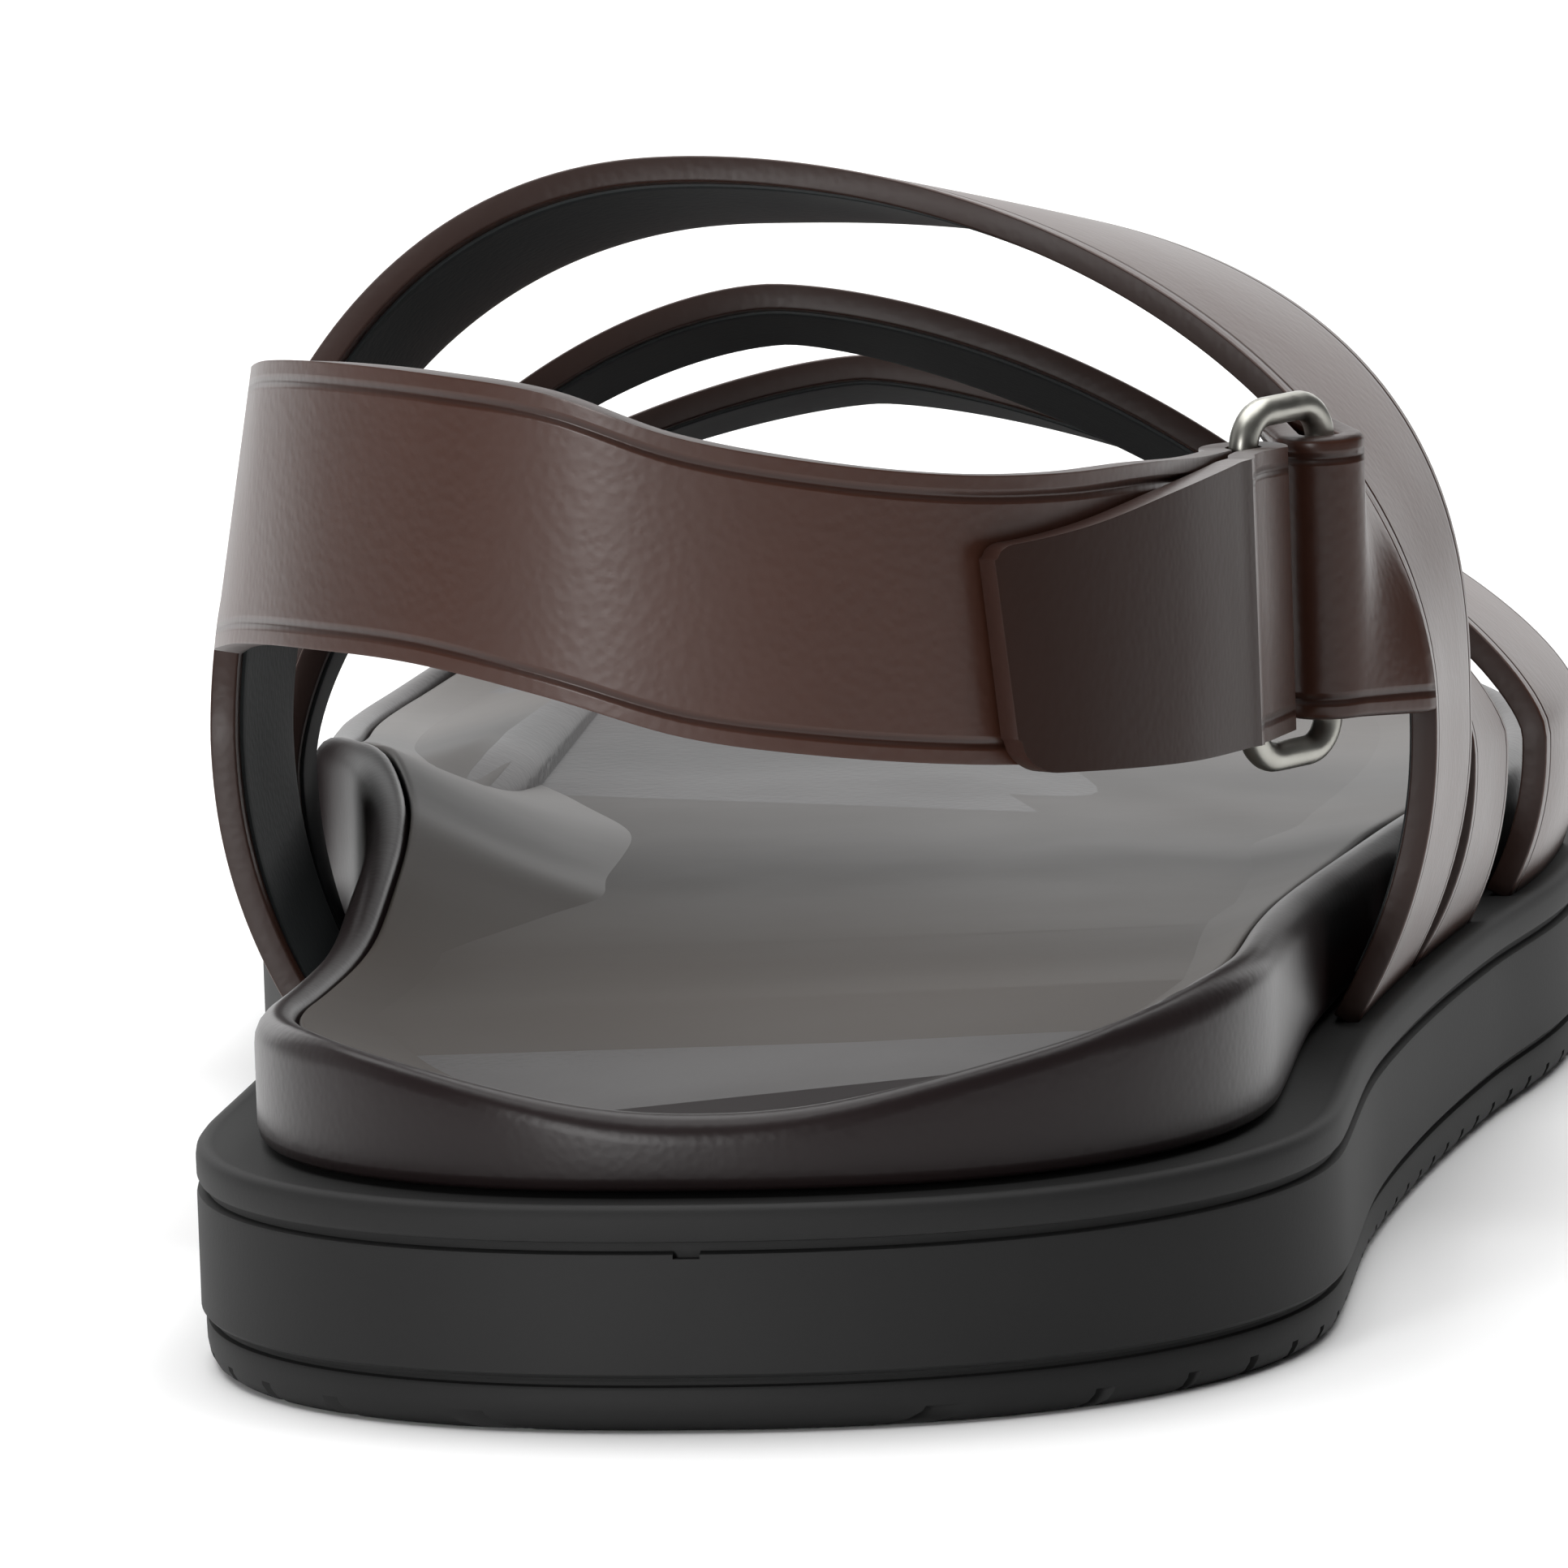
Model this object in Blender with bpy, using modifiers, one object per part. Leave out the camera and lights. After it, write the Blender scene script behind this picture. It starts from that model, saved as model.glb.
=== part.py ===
"""A right leather sandal with a heel strap, built the way its maker puts it together.

The sole unit is a ribbed rubber outsole, a leather wrapped footbed and a glossy insole.
The upper is three strap arches. The rear one carries the heel strap, which runs through a
metal ring and folds back on itself. X points to the toe, Y to the inner side of the foot
and Z up. Lengths are metres.
"""
import math
from collections import namedtuple

import bmesh
import bpy
import numpy as np
from mathutils import Vector

# Driving sizes of the whole sandal
SOLE_LENGTH = 0.298
BALL_WIDTH = 0.120
INSTEP_HEIGHT = 0.0905
TOE_SPRING = 0.009
CLEARANCE = 0.0003

# Outsole
HEEL_THICKNESS = 0.0188
TOE_THICKNESS = 0.0165
LEDGE_WIDTH = 0.0052
EDGE_ROUND = 0.0018
GROOVE_DEPTH = 0.0010
GROOVE_WIDTH = 0.0009
LOWER_GROOVE_HEIGHT = 0.0044
UPPER_GROOVE_DROP = 0.0033
HEEL_CURVE = 0.050
TOE_CURVE = 0.090
HEEL_SQUARENESS = 2.3
TOE_SQUARENESS = 2.15
SPRING_START = 0.81

# Tread
TREAD_PITCH = 0.00695
TREAD_CUT = 0.0012
TREAD_DEPTH = 0.0016
TREAD_BAND = 0.0148
TREAD_SEAM = 0.0024
BAND_STAGGER = 0.0020
HEEL_TREAD_START = 0.0036
HEEL_TREAD_LINES = 10
WAIST_TREAD_START = 0.0751
WAIST_TREAD_LINES = 25
TOE_TREAD_START = 0.2530
TOE_TREAD_LINES = 6

# Footbed and insole
RIM_WIDTH = 0.0036
RIM_ROUND = 0.0026
INSOLE_THICKNESS = 0.0015
INSOLE_STEP = 0.0005

# Straps and ring
STRAP_THICKNESS = 0.0022
LAYER_GAP = 0.0004
RING_WIRE = 0.0025
RING_REACH = 0.0102
RING_TURN = math.radians(-33)
RING_ROOM = 0.0014
RING_CORNER = 0.0030
FOLD_RADIUS = RING_WIRE / 2.0 + CLEARANCE + STRAP_THICKNESS / 2.0
TAB_END_AT = 0.055
TAB_TIP_DROP = 0.0062
TAB_EDGE_DROP = 0.0016

# Mesh density
STATIONS = 34
ACROSS = 6
ARCH_STEPS = 38
STRAP_STEPS = 3
FOLD_STEPS = 7

SoleRow = namedtuple("SoleRow", "along centre half_width")
RimRow = namedtuple("RimRow", "along middle inner_rim outer_rim")
EdgeRow = namedtuple("EdgeRow", "inner_at crest_at outer_at inner_bulge outer_bulge "
                     "widest crest crest_side inner_power outer_power")
BandRow = namedtuple("BandRow", "along side lean low high")

# Outline from heel to toe, as shares of the sole length and of the ball width
SOLE_ROWS = [
    SoleRow(along=0.00, centre=0.000, half_width=0.398),
    SoleRow(along=0.15, centre=-0.004, half_width=0.397),
    SoleRow(along=0.30, centre=-0.001, half_width=0.391),
    SoleRow(along=0.40, centre=0.001, half_width=0.404),
    SoleRow(along=0.50, centre=0.015, half_width=0.440),
    SoleRow(along=0.60, centre=0.031, half_width=0.487),
    SoleRow(along=0.70, centre=0.044, half_width=0.501),
    SoleRow(along=0.80, centre=0.071, half_width=0.505),
    SoleRow(along=0.90, centre=0.114, half_width=0.504),
    SoleRow(along=1.00, centre=0.159, half_width=0.500),
]

# Footbed heights above the outsole, as shares of the heel thickness
RIM_ROWS = [
    RimRow(along=0.00, middle=0.34, inner_rim=0.60, outer_rim=0.60),
    RimRow(along=0.03, middle=0.31, inner_rim=0.60, outer_rim=0.60),
    RimRow(along=0.07, middle=0.23, inner_rim=0.58, outer_rim=0.62),
    RimRow(along=0.12, middle=0.18, inner_rim=0.54, outer_rim=0.68),
    RimRow(along=0.20, middle=0.18, inner_rim=0.50, outer_rim=0.66),
    RimRow(along=0.27, middle=0.22, inner_rim=0.52, outer_rim=0.60),
    RimRow(along=0.35, middle=0.27, inner_rim=0.70, outer_rim=0.54),
    RimRow(along=0.42, middle=0.31, inner_rim=0.80, outer_rim=0.50),
    RimRow(along=0.49, middle=0.33, inner_rim=0.86, outer_rim=0.48),
    RimRow(along=0.57, middle=0.32, inner_rim=0.76, outer_rim=0.46),
    RimRow(along=0.67, middle=0.29, inner_rim=0.56, outer_rim=0.44),
    RimRow(along=0.77, middle=0.27, inner_rim=0.46, outer_rim=0.43),
    RimRow(along=0.90, middle=0.28, inner_rim=0.45, outer_rim=0.44),
    RimRow(along=0.97, middle=0.33, inner_rim=0.46, outer_rim=0.46),
    RimRow(along=1.00, middle=0.35, inner_rim=0.46, outer_rim=0.46),
]

# The two edges of each strap arch: places as shares of the sole length, bulges past the
# footbed and the crest's side as shares of the ball width, heights as shares of the instep
# height, and the powers that round each shoulder
ARCHES = {
    "instep": (
        EdgeRow(inner_at=0.301, crest_at=0.376, outer_at=0.317,
                inner_bulge=0.066, outer_bulge=0.063, widest=0.49, crest=1.003,
                crest_side=0.110, inner_power=2.25, outer_power=1.90),
        EdgeRow(inner_at=0.399, crest_at=0.470, outer_at=0.413,
                inner_bulge=0.048, outer_bulge=0.052, widest=0.45, crest=0.923,
                crest_side=0.075, inner_power=2.20, outer_power=2.60),
    ),
    "rear_vamp": (
        EdgeRow(inner_at=0.408, crest_at=0.483, outer_at=0.421,
                inner_bulge=0.046, outer_bulge=0.050, widest=0.40, crest=0.835,
                crest_side=0.083, inner_power=1.75, outer_power=1.62),
        EdgeRow(inner_at=0.506, crest_at=0.577, outer_at=0.509,
                inner_bulge=0.021, outer_bulge=0.032, widest=0.37, crest=0.760,
                crest_side=0.100, inner_power=1.70, outer_power=1.42),
    ),
    "front_vamp": (
        EdgeRow(inner_at=0.592, crest_at=0.614, outer_at=0.558,
                inner_bulge=0.028, outer_bulge=0.031, widest=0.35, crest=0.708,
                crest_side=0.058, inner_power=1.52, outer_power=1.46),
        EdgeRow(inner_at=0.700, crest_at=0.708, outer_at=0.665,
                inner_bulge=0.033, outer_bulge=0.017, widest=0.33, crest=0.644,
                crest_side=0.075, inner_power=1.50, outer_power=1.50),
    ),
}

# Middle of the heel strap from the inner side round the heel to the ring: places as
# shares of the sole length and ball width, heights as shares of the instep height
HEEL_STRAP_ROWS = [
    BandRow(along=0.262, side=0.396, lean=0.042, low=0.597, high=0.851),
    BandRow(along=0.215, side=0.385, lean=0.036, low=0.613, high=0.873),
    BandRow(along=0.161, side=0.363, lean=0.032, low=0.641, high=0.901),
    BandRow(along=0.111, side=0.326, lean=0.027, low=0.669, high=0.928),
    BandRow(along=0.067, side=0.266, lean=0.022, low=0.685, high=0.945),
    BandRow(along=0.037, side=0.183, lean=0.016, low=0.685, high=0.947),
    BandRow(along=0.022, side=0.092, lean=0.008, low=0.661, high=0.934),
    BandRow(along=0.019, side=0.000, lean=0.000, low=0.624, high=0.895),
    BandRow(along=0.025, side=-0.092, lean=0.000, low=0.602, high=0.867),
    BandRow(along=0.044, side=-0.179, lean=-0.004, low=0.583, high=0.845),
    BandRow(along=0.074, side=-0.240, lean=-0.004, low=0.568, high=0.831),
    BandRow(along=0.121, side=-0.284, lean=-0.003, low=0.550, high=0.818),
    BandRow(along=0.174, side=-0.304, lean=-0.002, low=0.533, high=0.798),
    BandRow(along=0.228, side=-0.310, lean=0.000, low=0.515, high=0.780),
]
RING_PLACE = BandRow(along=0.2668, side=-0.3167, lean=0.0, low=0.500, high=0.765)


def read_table(rows, along, column):
    """Read one column of a table at a share of the length, along a smooth curve."""
    keys = np.array([row.along for row in rows])
    values = np.array([getattr(row, column) for row in rows])
    slopes = np.gradient(values, keys)
    place = int(np.clip(np.searchsorted(keys, along) - 1, 0, len(rows) - 2))
    span = keys[place + 1] - keys[place]
    t = float(np.clip((along - keys[place]) / span, 0.0, 1.0))
    start = values[place] * (1 + 2 * t) * (1 - t) ** 2 + slopes[place] * span * t * (1 - t) ** 2
    end = values[place + 1] * t * t * (3 - 2 * t) + slopes[place + 1] * span * t * t * (t - 1)
    return float(start + end)


def cap_factor(distance, curve, squareness):
    """Share of the full width at a distance from a rounded end of the sole."""
    short = max(0.0, 1.0 - distance / curve)
    return (1.0 - short ** squareness) ** (1.0 / squareness)


def sole_edge(along, side):
    """Outline point of the sole at a share of its length; side is 1 inner, -1 outer."""
    half = read_table(SOLE_ROWS, along, "half_width") * BALL_WIDTH
    half *= cap_factor(along * SOLE_LENGTH, HEEL_CURVE, HEEL_SQUARENESS)
    half *= cap_factor((1.0 - along) * SOLE_LENGTH, TOE_CURVE, TOE_SQUARENESS)
    centre = read_table(SOLE_ROWS, along, "centre") * BALL_WIDTH
    return Vector((along * SOLE_LENGTH, centre + side * half))


def sole_ring(inset):
    """Closed outline moved inwards: heel tip, inner side, toe tip, then the outer side."""
    shares = [(1.0 - math.cos(math.pi * i / STATIONS)) / 2.0 for i in range(STATIONS + 1)]
    points = [sole_edge(share, 1) for share in shares]
    points += [sole_edge(share, -1) for share in reversed(shares[1:-1])]
    ring = []
    for i, point in enumerate(points):
        run = points[(i + 1) % len(points)] - points[i - 1]
        outwards = Vector((-run.y, run.x)).normalized()
        ring.append(point - outwards * inset)
    return ring


def edge_side(x, side, inset):
    """Y of the outline at one x, moved inwards along the outline's own normal."""
    along = x / SOLE_LENGTH
    step = 0.002
    run = sole_edge(along + step, side) - sole_edge(along - step, side)
    slope = math.hypot(run.x, run.y) / run.x
    return sole_edge(along, side).y - side * inset * slope


def toe_lift(x):
    """Height of the underside above the floor, which is flat up to the toe spring."""
    past = max(0.0, x / SOLE_LENGTH - SPRING_START) / (1.0 - SPRING_START)
    return TOE_SPRING * past ** 2


def sole_thickness(x):
    along = min(1.0, max(0.0, x / SOLE_LENGTH))
    return HEEL_THICKNESS + (TOE_THICKNESS - HEEL_THICKNESS) * along


def ledge_height(x):
    return toe_lift(x) + sole_thickness(x)


def side_share(x, y):
    """Place across the footbed: 1 at the inner edge, 0 in the middle, -1 outside."""
    along = min(0.999, max(0.001, x / SOLE_LENGTH))
    inner = sole_edge(along, 1).y
    outer = sole_edge(along, -1).y
    half = max((inner - outer) / 2.0, 1e-6)
    return max(-1.0, min(1.0, (y - (inner + outer) / 2.0) / half))


def bed_height(x, y):
    """Top of the insole: a cup at the heel with a raised arch on the inner side."""
    along = min(1.0, max(0.0, x / SOLE_LENGTH))
    full = 1.0 - (LEDGE_WIDTH + RIM_WIDTH) / (0.4 * BALL_WIDTH)
    across = max(-1.0, min(1.0, side_share(x, y) / full))
    middle = read_table(RIM_ROWS, along, "middle")
    side = read_table(RIM_ROWS, along, "inner_rim" if across > 0.0 else "outer_rim")
    return ledge_height(x) + HEEL_THICKNESS * (middle + (side - middle) * abs(across) ** 2.3)


def new_object(name, bm, collection):
    mesh = bpy.data.meshes.new(name)
    bm.to_mesh(mesh)
    bm.free()
    obj = bpy.data.objects.new(name, mesh)
    collection.objects.link(obj)
    return obj


def add_ring(bm, points, heights):
    return [bm.verts.new((p.x, p.y, z)) for p, z in zip(points, heights)]


def join_rings(bm, lower, upper):
    count = len(lower)
    for i in range(count):
        j = (i + 1) % count
        bm.faces.new((lower[j], lower[i], upper[i], upper[j]))


def fill_ring(bm, ring, height, steps, facing_up):
    """Close a ring of paired stations with rows of faces across the sole."""
    count = len(ring)
    rows = [[ring[0]] * (steps + 1)]
    for i in range(1, count // 2):
        inner, outer = ring[i], ring[count - i]
        row = [inner]
        for k in range(1, steps):
            spot = inner.co.lerp(outer.co, k / steps)
            row.append(bm.verts.new((spot.x, spot.y, height(spot.x, spot.y))))
        rows.append(row + [outer])
    rows.append([ring[count // 2]] * (steps + 1))
    for here, ahead in zip(rows, rows[1:]):
        for k in range(steps):
            halves = ((here[k], here[k + 1], ahead[k + 1]), (here[k], ahead[k + 1], ahead[k]))
            for corners in halves:
                if len(set(corners)) == 3:
                    bm.faces.new(corners if facing_up else corners[::-1])


def side_profile(x):
    """Inset and height of each step of the outsole's side at one station."""
    thickness = sole_thickness(x)
    half = GROOVE_WIDTH / 2.0
    lip = GROOVE_DEPTH * 0.3
    low = LOWER_GROOVE_HEIGHT
    high = thickness - UPPER_GROOVE_DROP
    return (
        (EDGE_ROUND, 0.0),
        (EDGE_ROUND * 0.3, EDGE_ROUND * 0.7),
        (lip, low - half - lip),
        (GROOVE_DEPTH, low - half),
        (GROOVE_DEPTH, low + half),
        (0.0, low + half + lip),
        (0.0, high - half - lip),
        (GROOVE_DEPTH, high - half),
        (GROOVE_DEPTH, high + half),
        (0.0, high + half + lip),
        (0.0, thickness - GROOVE_DEPTH),
        (GROOVE_DEPTH * 0.7, thickness),
        (LEDGE_WIDTH, thickness),
    )


def make_outsole(collection):
    """Rubber sole: stepped side, flat from heel to ball, lifted at the toe."""
    bm = bmesh.new()
    steps = len(side_profile(0.0))
    rings = []
    for step in range(steps):
        inset = side_profile(0.0)[step][0]
        points = sole_ring(inset)
        heights = [toe_lift(p.x) + side_profile(p.x)[step][1] for p in points]
        rings.append(add_ring(bm, points, heights))
    for lower, upper in zip(rings, rings[1:]):
        join_rings(bm, lower, upper)
    fill_ring(bm, rings[0], lambda x, y: toe_lift(x), 1, facing_up=False)
    fill_ring(bm, rings[-1], lambda x, y: ledge_height(x), 1, facing_up=True)
    return new_object("outsole", bm, collection)


def add_cut(bm, x, y_from, y_to):
    """One tread cut, a bar that reaches up into the underside."""
    top = toe_lift(x) + TREAD_DEPTH
    bottom = -TREAD_DEPTH
    bar = bmesh.ops.create_cube(bm, size=1.0)["verts"]
    bmesh.ops.scale(bm, vec=(TREAD_CUT, abs(y_to - y_from), top - bottom), verts=bar)
    centre = Vector((x, (y_from + y_to) / 2.0, (top + bottom) / 2.0))
    bmesh.ops.translate(bm, vec=centre, verts=bar)


def make_tread_cutter(cutters):
    """All tread cuts: whole lines at heel and toe, three staggered sets at the waist."""
    bm = bmesh.new()
    past_edge = BALL_WIDTH
    for i in range(HEEL_TREAD_LINES):
        add_cut(bm, HEEL_TREAD_START + i * TREAD_PITCH, -past_edge, past_edge)
    for i in range(TOE_TREAD_LINES):
        add_cut(bm, TOE_TREAD_START + i * TREAD_PITCH, -past_edge, past_edge)
    for i in range(WAIST_TREAD_LINES):
        x = WAIST_TREAD_START + i * TREAD_PITCH
        inner = edge_side(x, 1, TREAD_BAND)
        outer = edge_side(x, -1, TREAD_BAND)
        add_cut(bm, x, outer + TREAD_SEAM / 2.0, inner - TREAD_SEAM / 2.0)
        add_cut(bm, x - BAND_STAGGER, inner + TREAD_SEAM / 2.0, past_edge)
        add_cut(bm, x - BAND_STAGGER, -past_edge, outer - TREAD_SEAM / 2.0)
    cutter = new_object("tread_cutter", bm, cutters)
    cutter.hide_render = True
    cutter.display_type = "WIRE"
    return cutter


def cut_with(obj, cutter):
    cut = obj.modifiers.new("tread", "BOOLEAN")
    cut.operation = "DIFFERENCE"
    cut.solver = "EXACT"
    cut.object = cutter


def make_footbed(collection):
    """Wrapped footbed: wall on the ledge, round rim, and a bed for the insole."""
    bm = bmesh.new()
    corner = RIM_ROUND * 0.3
    bed_inset = LEDGE_WIDTH + RIM_WIDTH
    bed_drop = INSOLE_THICKNESS + INSOLE_STEP + CLEARANCE
    from_ledge = ((corner, 0.0), (0.2 * corner, corner), (0.0, 3.0 * corner))
    from_rim = (
        (0.0, -RIM_ROUND),
        (0.12 * RIM_ROUND, -0.5 * RIM_ROUND),
        (0.5 * RIM_ROUND, -0.12 * RIM_ROUND),
        (RIM_ROUND, 0.0),
        (RIM_WIDTH, -INSOLE_STEP),
        (RIM_WIDTH, -bed_drop),
    )
    rings = []
    for inset, up in from_ledge:
        points = sole_ring(LEDGE_WIDTH + inset)
        heights = [ledge_height(p.x) + CLEARANCE + up for p in points]
        rings.append(add_ring(bm, points, heights))
    for inset, down in from_rim:
        points = sole_ring(LEDGE_WIDTH + inset)
        heights = [bed_height(p.x, p.y) + INSOLE_STEP + down for p in points]
        rings.append(add_ring(bm, points, heights))
    for lower, upper in zip(rings, rings[1:]):
        join_rings(bm, lower, upper)
    fill_ring(bm, rings[0], lambda x, y: ledge_height(x) + CLEARANCE, 1, facing_up=False)
    below = INSOLE_THICKNESS + CLEARANCE
    fill_ring(bm, rings[-1], lambda x, y: bed_height(x, y) - below, ACROSS, facing_up=True)
    return new_object("footbed", bm, collection)


def make_insole(collection):
    """Thin glossy leather sock that lies in the footbed."""
    bm = bmesh.new()
    points = sole_ring(LEDGE_WIDTH + RIM_WIDTH + CLEARANCE)
    tops = [bed_height(p.x, p.y) for p in points]
    upper = add_ring(bm, points, tops)
    lower = add_ring(bm, points, [top - INSOLE_THICKNESS for top in tops])
    join_rings(bm, lower, upper)
    fill_ring(bm, upper, bed_height, ACROSS, facing_up=True)
    fill_ring(bm, lower, lambda x, y: bed_height(x, y) - INSOLE_THICKNESS, ACROSS,
              facing_up=False)
    return new_object("insole", bm, collection)


def arch_half(row, side):
    """Half of a strap edge, from its foot on the ledge up to the crest."""
    leg_at = (row.inner_at if side > 0 else row.outer_at) * SOLE_LENGTH
    bulge = (row.inner_bulge if side > 0 else row.outer_bulge) * BALL_WIDTH
    crest_at = row.crest_at * SOLE_LENGTH
    widest = row.widest * INSTEP_HEIGHT
    crest = row.crest * INSTEP_HEIGHT - STRAP_THICKNESS / 2.0
    seat = LEDGE_WIDTH - CLEARANCE - STRAP_THICKNESS * 0.55
    foot_y = edge_side(leg_at, side, seat)
    foot_z = ledge_height(leg_at) + CLEARANCE + STRAP_THICKNESS * 0.42
    wide_y = foot_y + side * bulge
    crest_y = row.crest_side * BALL_WIDTH
    power = 2.0 / (row.inner_power if side > 0 else row.outer_power)
    points = []
    for i in range(12):
        t = i / 12.0
        points.append(Vector((leg_at, foot_y + side * bulge * (1 - (1 - t) ** 2.2),
                              foot_z + (widest - foot_z) * t)))
    for i in range(25):
        turn = math.pi / 2.0 * i / 24.0
        reach = max(0.0, math.cos(turn)) ** power
        rise = math.sin(turn) ** power
        x = leg_at + (crest_at - leg_at) * rise ** 1.3
        points.append(Vector((x, crest_y + (wide_y - crest_y) * reach,
                              widest + (crest - widest) * rise)))
    return points


def spread(points, count):
    """Points at equal distances along a line of points."""
    lengths = [0.0]
    for a, b in zip(points, points[1:]):
        lengths.append(lengths[-1] + (b - a).length)
    wanted = np.linspace(0.0, lengths[-1], count)
    axes = [np.interp(wanted, lengths, [p[axis] for p in points]) for axis in range(3)]
    return [Vector(point) for point in zip(*axes)]


def arch_edge(row):
    """A whole strap edge, from its inner foot over the crest to its outer foot."""
    inner = arch_half(row, 1)
    outer = arch_half(row, -1)
    return spread(inner + outer[::-1][1:], ARCH_STEPS + 1)


def add_arch(bm, name, columns):
    """Strap surface between its two edges; returns its grid of corners."""
    rear, front = (np.array(row) for row in ARCHES[name])
    lines = []
    for k in range(columns + 1):
        between = EdgeRow(*(rear + (front - rear) * k / columns))
        lines.append(arch_edge(between))
    grid = [[bm.verts.new(point) for point in points] for points in zip(*lines)]
    join_grid(bm, grid)
    return grid


def join_grid(bm, grid):
    for here, ahead in zip(grid, grid[1:]):
        for k in range(len(here) - 1):
            bm.faces.new((here[k], ahead[k], ahead[k + 1], here[k + 1]))


def thicken(obj):
    wall = obj.modifiers.new("leather", "SOLIDIFY")
    wall.thickness = STRAP_THICKNESS
    wall.offset = 0.0
    wall.use_even_offset = True


def make_vamp_strap(name, collection):
    bm = bmesh.new()
    add_arch(bm, name, 3)
    obj = new_object(name + "_strap", bm, collection)
    thicken(obj)
    return obj


def between(low, high, columns):
    return [low.lerp(high, k / columns) for k in range(columns + 1)]


def band_points(row, columns):
    """Corners across the heel strap's middle surface at one row, from low to high."""
    x = row.along * SOLE_LENGTH
    y = row.side * BALL_WIDTH
    low = Vector((x, y, row.low * INSTEP_HEIGHT))
    high = Vector((x, y - row.lean * BALL_WIDTH, row.high * INSTEP_HEIGHT))
    return between(low, high, columns)


def smooth_rows(rows):
    """Add rows between the rows of corners, along smooth curves through them."""
    spots = np.array(rows)
    slopes = np.gradient(spots, axis=0)
    result = []
    for i in range(len(spots) - 1):
        for k in range(STRAP_STEPS):
            t = k / STRAP_STEPS
            spot = spots[i] * (1 + 2 * t) * (1 - t) ** 2 + slopes[i] * t * (1 - t) ** 2
            spot += spots[i + 1] * t * t * (3 - 2 * t) + slopes[i + 1] * t * t * (t - 1)
            result.append([Vector(point) for point in spot])
    result.append([Vector(point) for point in spots[-1]])
    return result


def ring_bars():
    """Middle of the ring's rear and front bars, and the two ends of its strap slot."""
    low, high = band_points(RING_PLACE, 1)
    rear = Vector((low.x, low.y))
    front = rear + Vector((math.cos(RING_TURN), math.sin(RING_TURN))) * RING_REACH
    return rear, front, low.z, high.z


def tangent_angle(centre, point, side):
    """Where a strap that comes straight from a point first touches its turn about a bar."""
    to_point = point.to_2d() - centre
    spread_angle = math.acos(FOLD_RADIUS / to_point.length)
    return math.atan2(to_point.y, to_point.x) + side * spread_angle


def fold_round(centre, heights, starts, ends):
    """The strap's turn about one bar of the ring, with its own angles at each height."""
    result = []
    for i in range(FOLD_STEPS + 1):
        row = []
        for z, start, end in zip(heights, starts, ends):
            angle = start + (end - start) * i / FOLD_STEPS
            spot = centre + Vector((math.cos(angle), math.sin(angle))) * FOLD_RADIUS
            row.append(Vector((spot.x, spot.y, z)))
        result.append(row)
    return result


def tab_rows(inner_run):
    """The strap's end, laid back along the outside of the inner layer."""
    result = []
    end_x = TAB_END_AT * SOLE_LENGTH
    ring_x = ring_bars()[0].x
    for i in range(len(inner_run) - 1, 0, -1):
        low, high = inner_run[i][0], inner_run[i][-1]
        run = (low - inner_run[i - 1][0]).to_2d().normalized()
        away = Vector((run.y, -run.x, 0.0)) * (STRAP_THICKNESS + LAYER_GAP)
        toward_tip = (ring_x - low.x) / (ring_x - end_x)
        drop = TAB_EDGE_DROP + (TAB_TIP_DROP - TAB_EDGE_DROP) * toward_tip ** 1.5
        tab_low = low + away - Vector((0.0, 0.0, LAYER_GAP))
        tab_high = high + away - Vector((0.0, 0.0, drop))
        result.append(between(tab_low, tab_high, len(inner_run[i]) - 1))
        if low.x < end_x:
            break
    return result


def add_rows(bm, first_row, rows):
    """Lay rows of corners behind one another, starting from corners already made."""
    grid = [first_row]
    for row in rows:
        grid.append([bm.verts.new(point) for point in row])
    join_grid(bm, grid)


def nearest_corner(corners, height, places):
    return min(places, key=lambda i: abs(corners[i].co.z - height))


def lining_point(grid, i, k):
    """Point just inside the arch, one layer of leather away from one of its corners."""
    along = grid[i + 1][k].co - grid[i - 1][k].co
    across = grid[i][k + 1].co - grid[i][k].co
    inwards = across.cross(along).normalized()
    if inwards.y < 0.0:
        inwards = -inwards
    return grid[i][k].co + inwards * (STRAP_THICKNESS + LAYER_GAP)


def make_upper(collection):
    """Instep arch with the heel strap on its inner side and the ring's loop outside."""
    bm = bmesh.new()
    grid = add_arch(bm, "instep", 3)
    rear_edge = [row[0] for row in grid]
    rear, front, slot_low, slot_high = ring_bars()
    heights = [slot_low + (slot_high - slot_low) * k / 4 for k in range(5)]

    rows = smooth_rows([band_points(row, 4) for row in HEEL_STRAP_ROWS])
    first = nearest_corner(rear_edge, rows[0][0].z, range(ARCH_STEPS // 2))
    starts = [tangent_angle(rear, point, -1) for point in rows[-1]]
    fold = fold_round(rear, heights, starts, [math.radians(-90)] * 5)
    tab = tab_rows([row for row in rows if row[0].y < 0.0])
    add_rows(bm, rear_edge[first:first + 5], rows[1:] + fold + tab)

    last = nearest_corner(rear_edge, slot_low, range(ARCH_STEPS // 2, ARCH_STEPS))
    loop = range(last, last - 5, -1)
    inside = [[lining_point(grid, i, k) for i in loop] for k in (0, 1)]
    starts = [tangent_angle(front, rear_edge[i].co, -1) + 2.0 * math.pi for i in loop]
    ends = [tangent_angle(front, point, 1) for point in inside[0]]
    turn = fold_round(front, heights, starts, ends)
    add_rows(bm, [rear_edge[i] for i in loop], turn + inside)
    bmesh.ops.recalc_face_normals(bm, faces=bm.faces)
    obj = new_object("instep_and_heel_strap", bm, collection)
    thicken(obj)
    return obj


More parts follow.
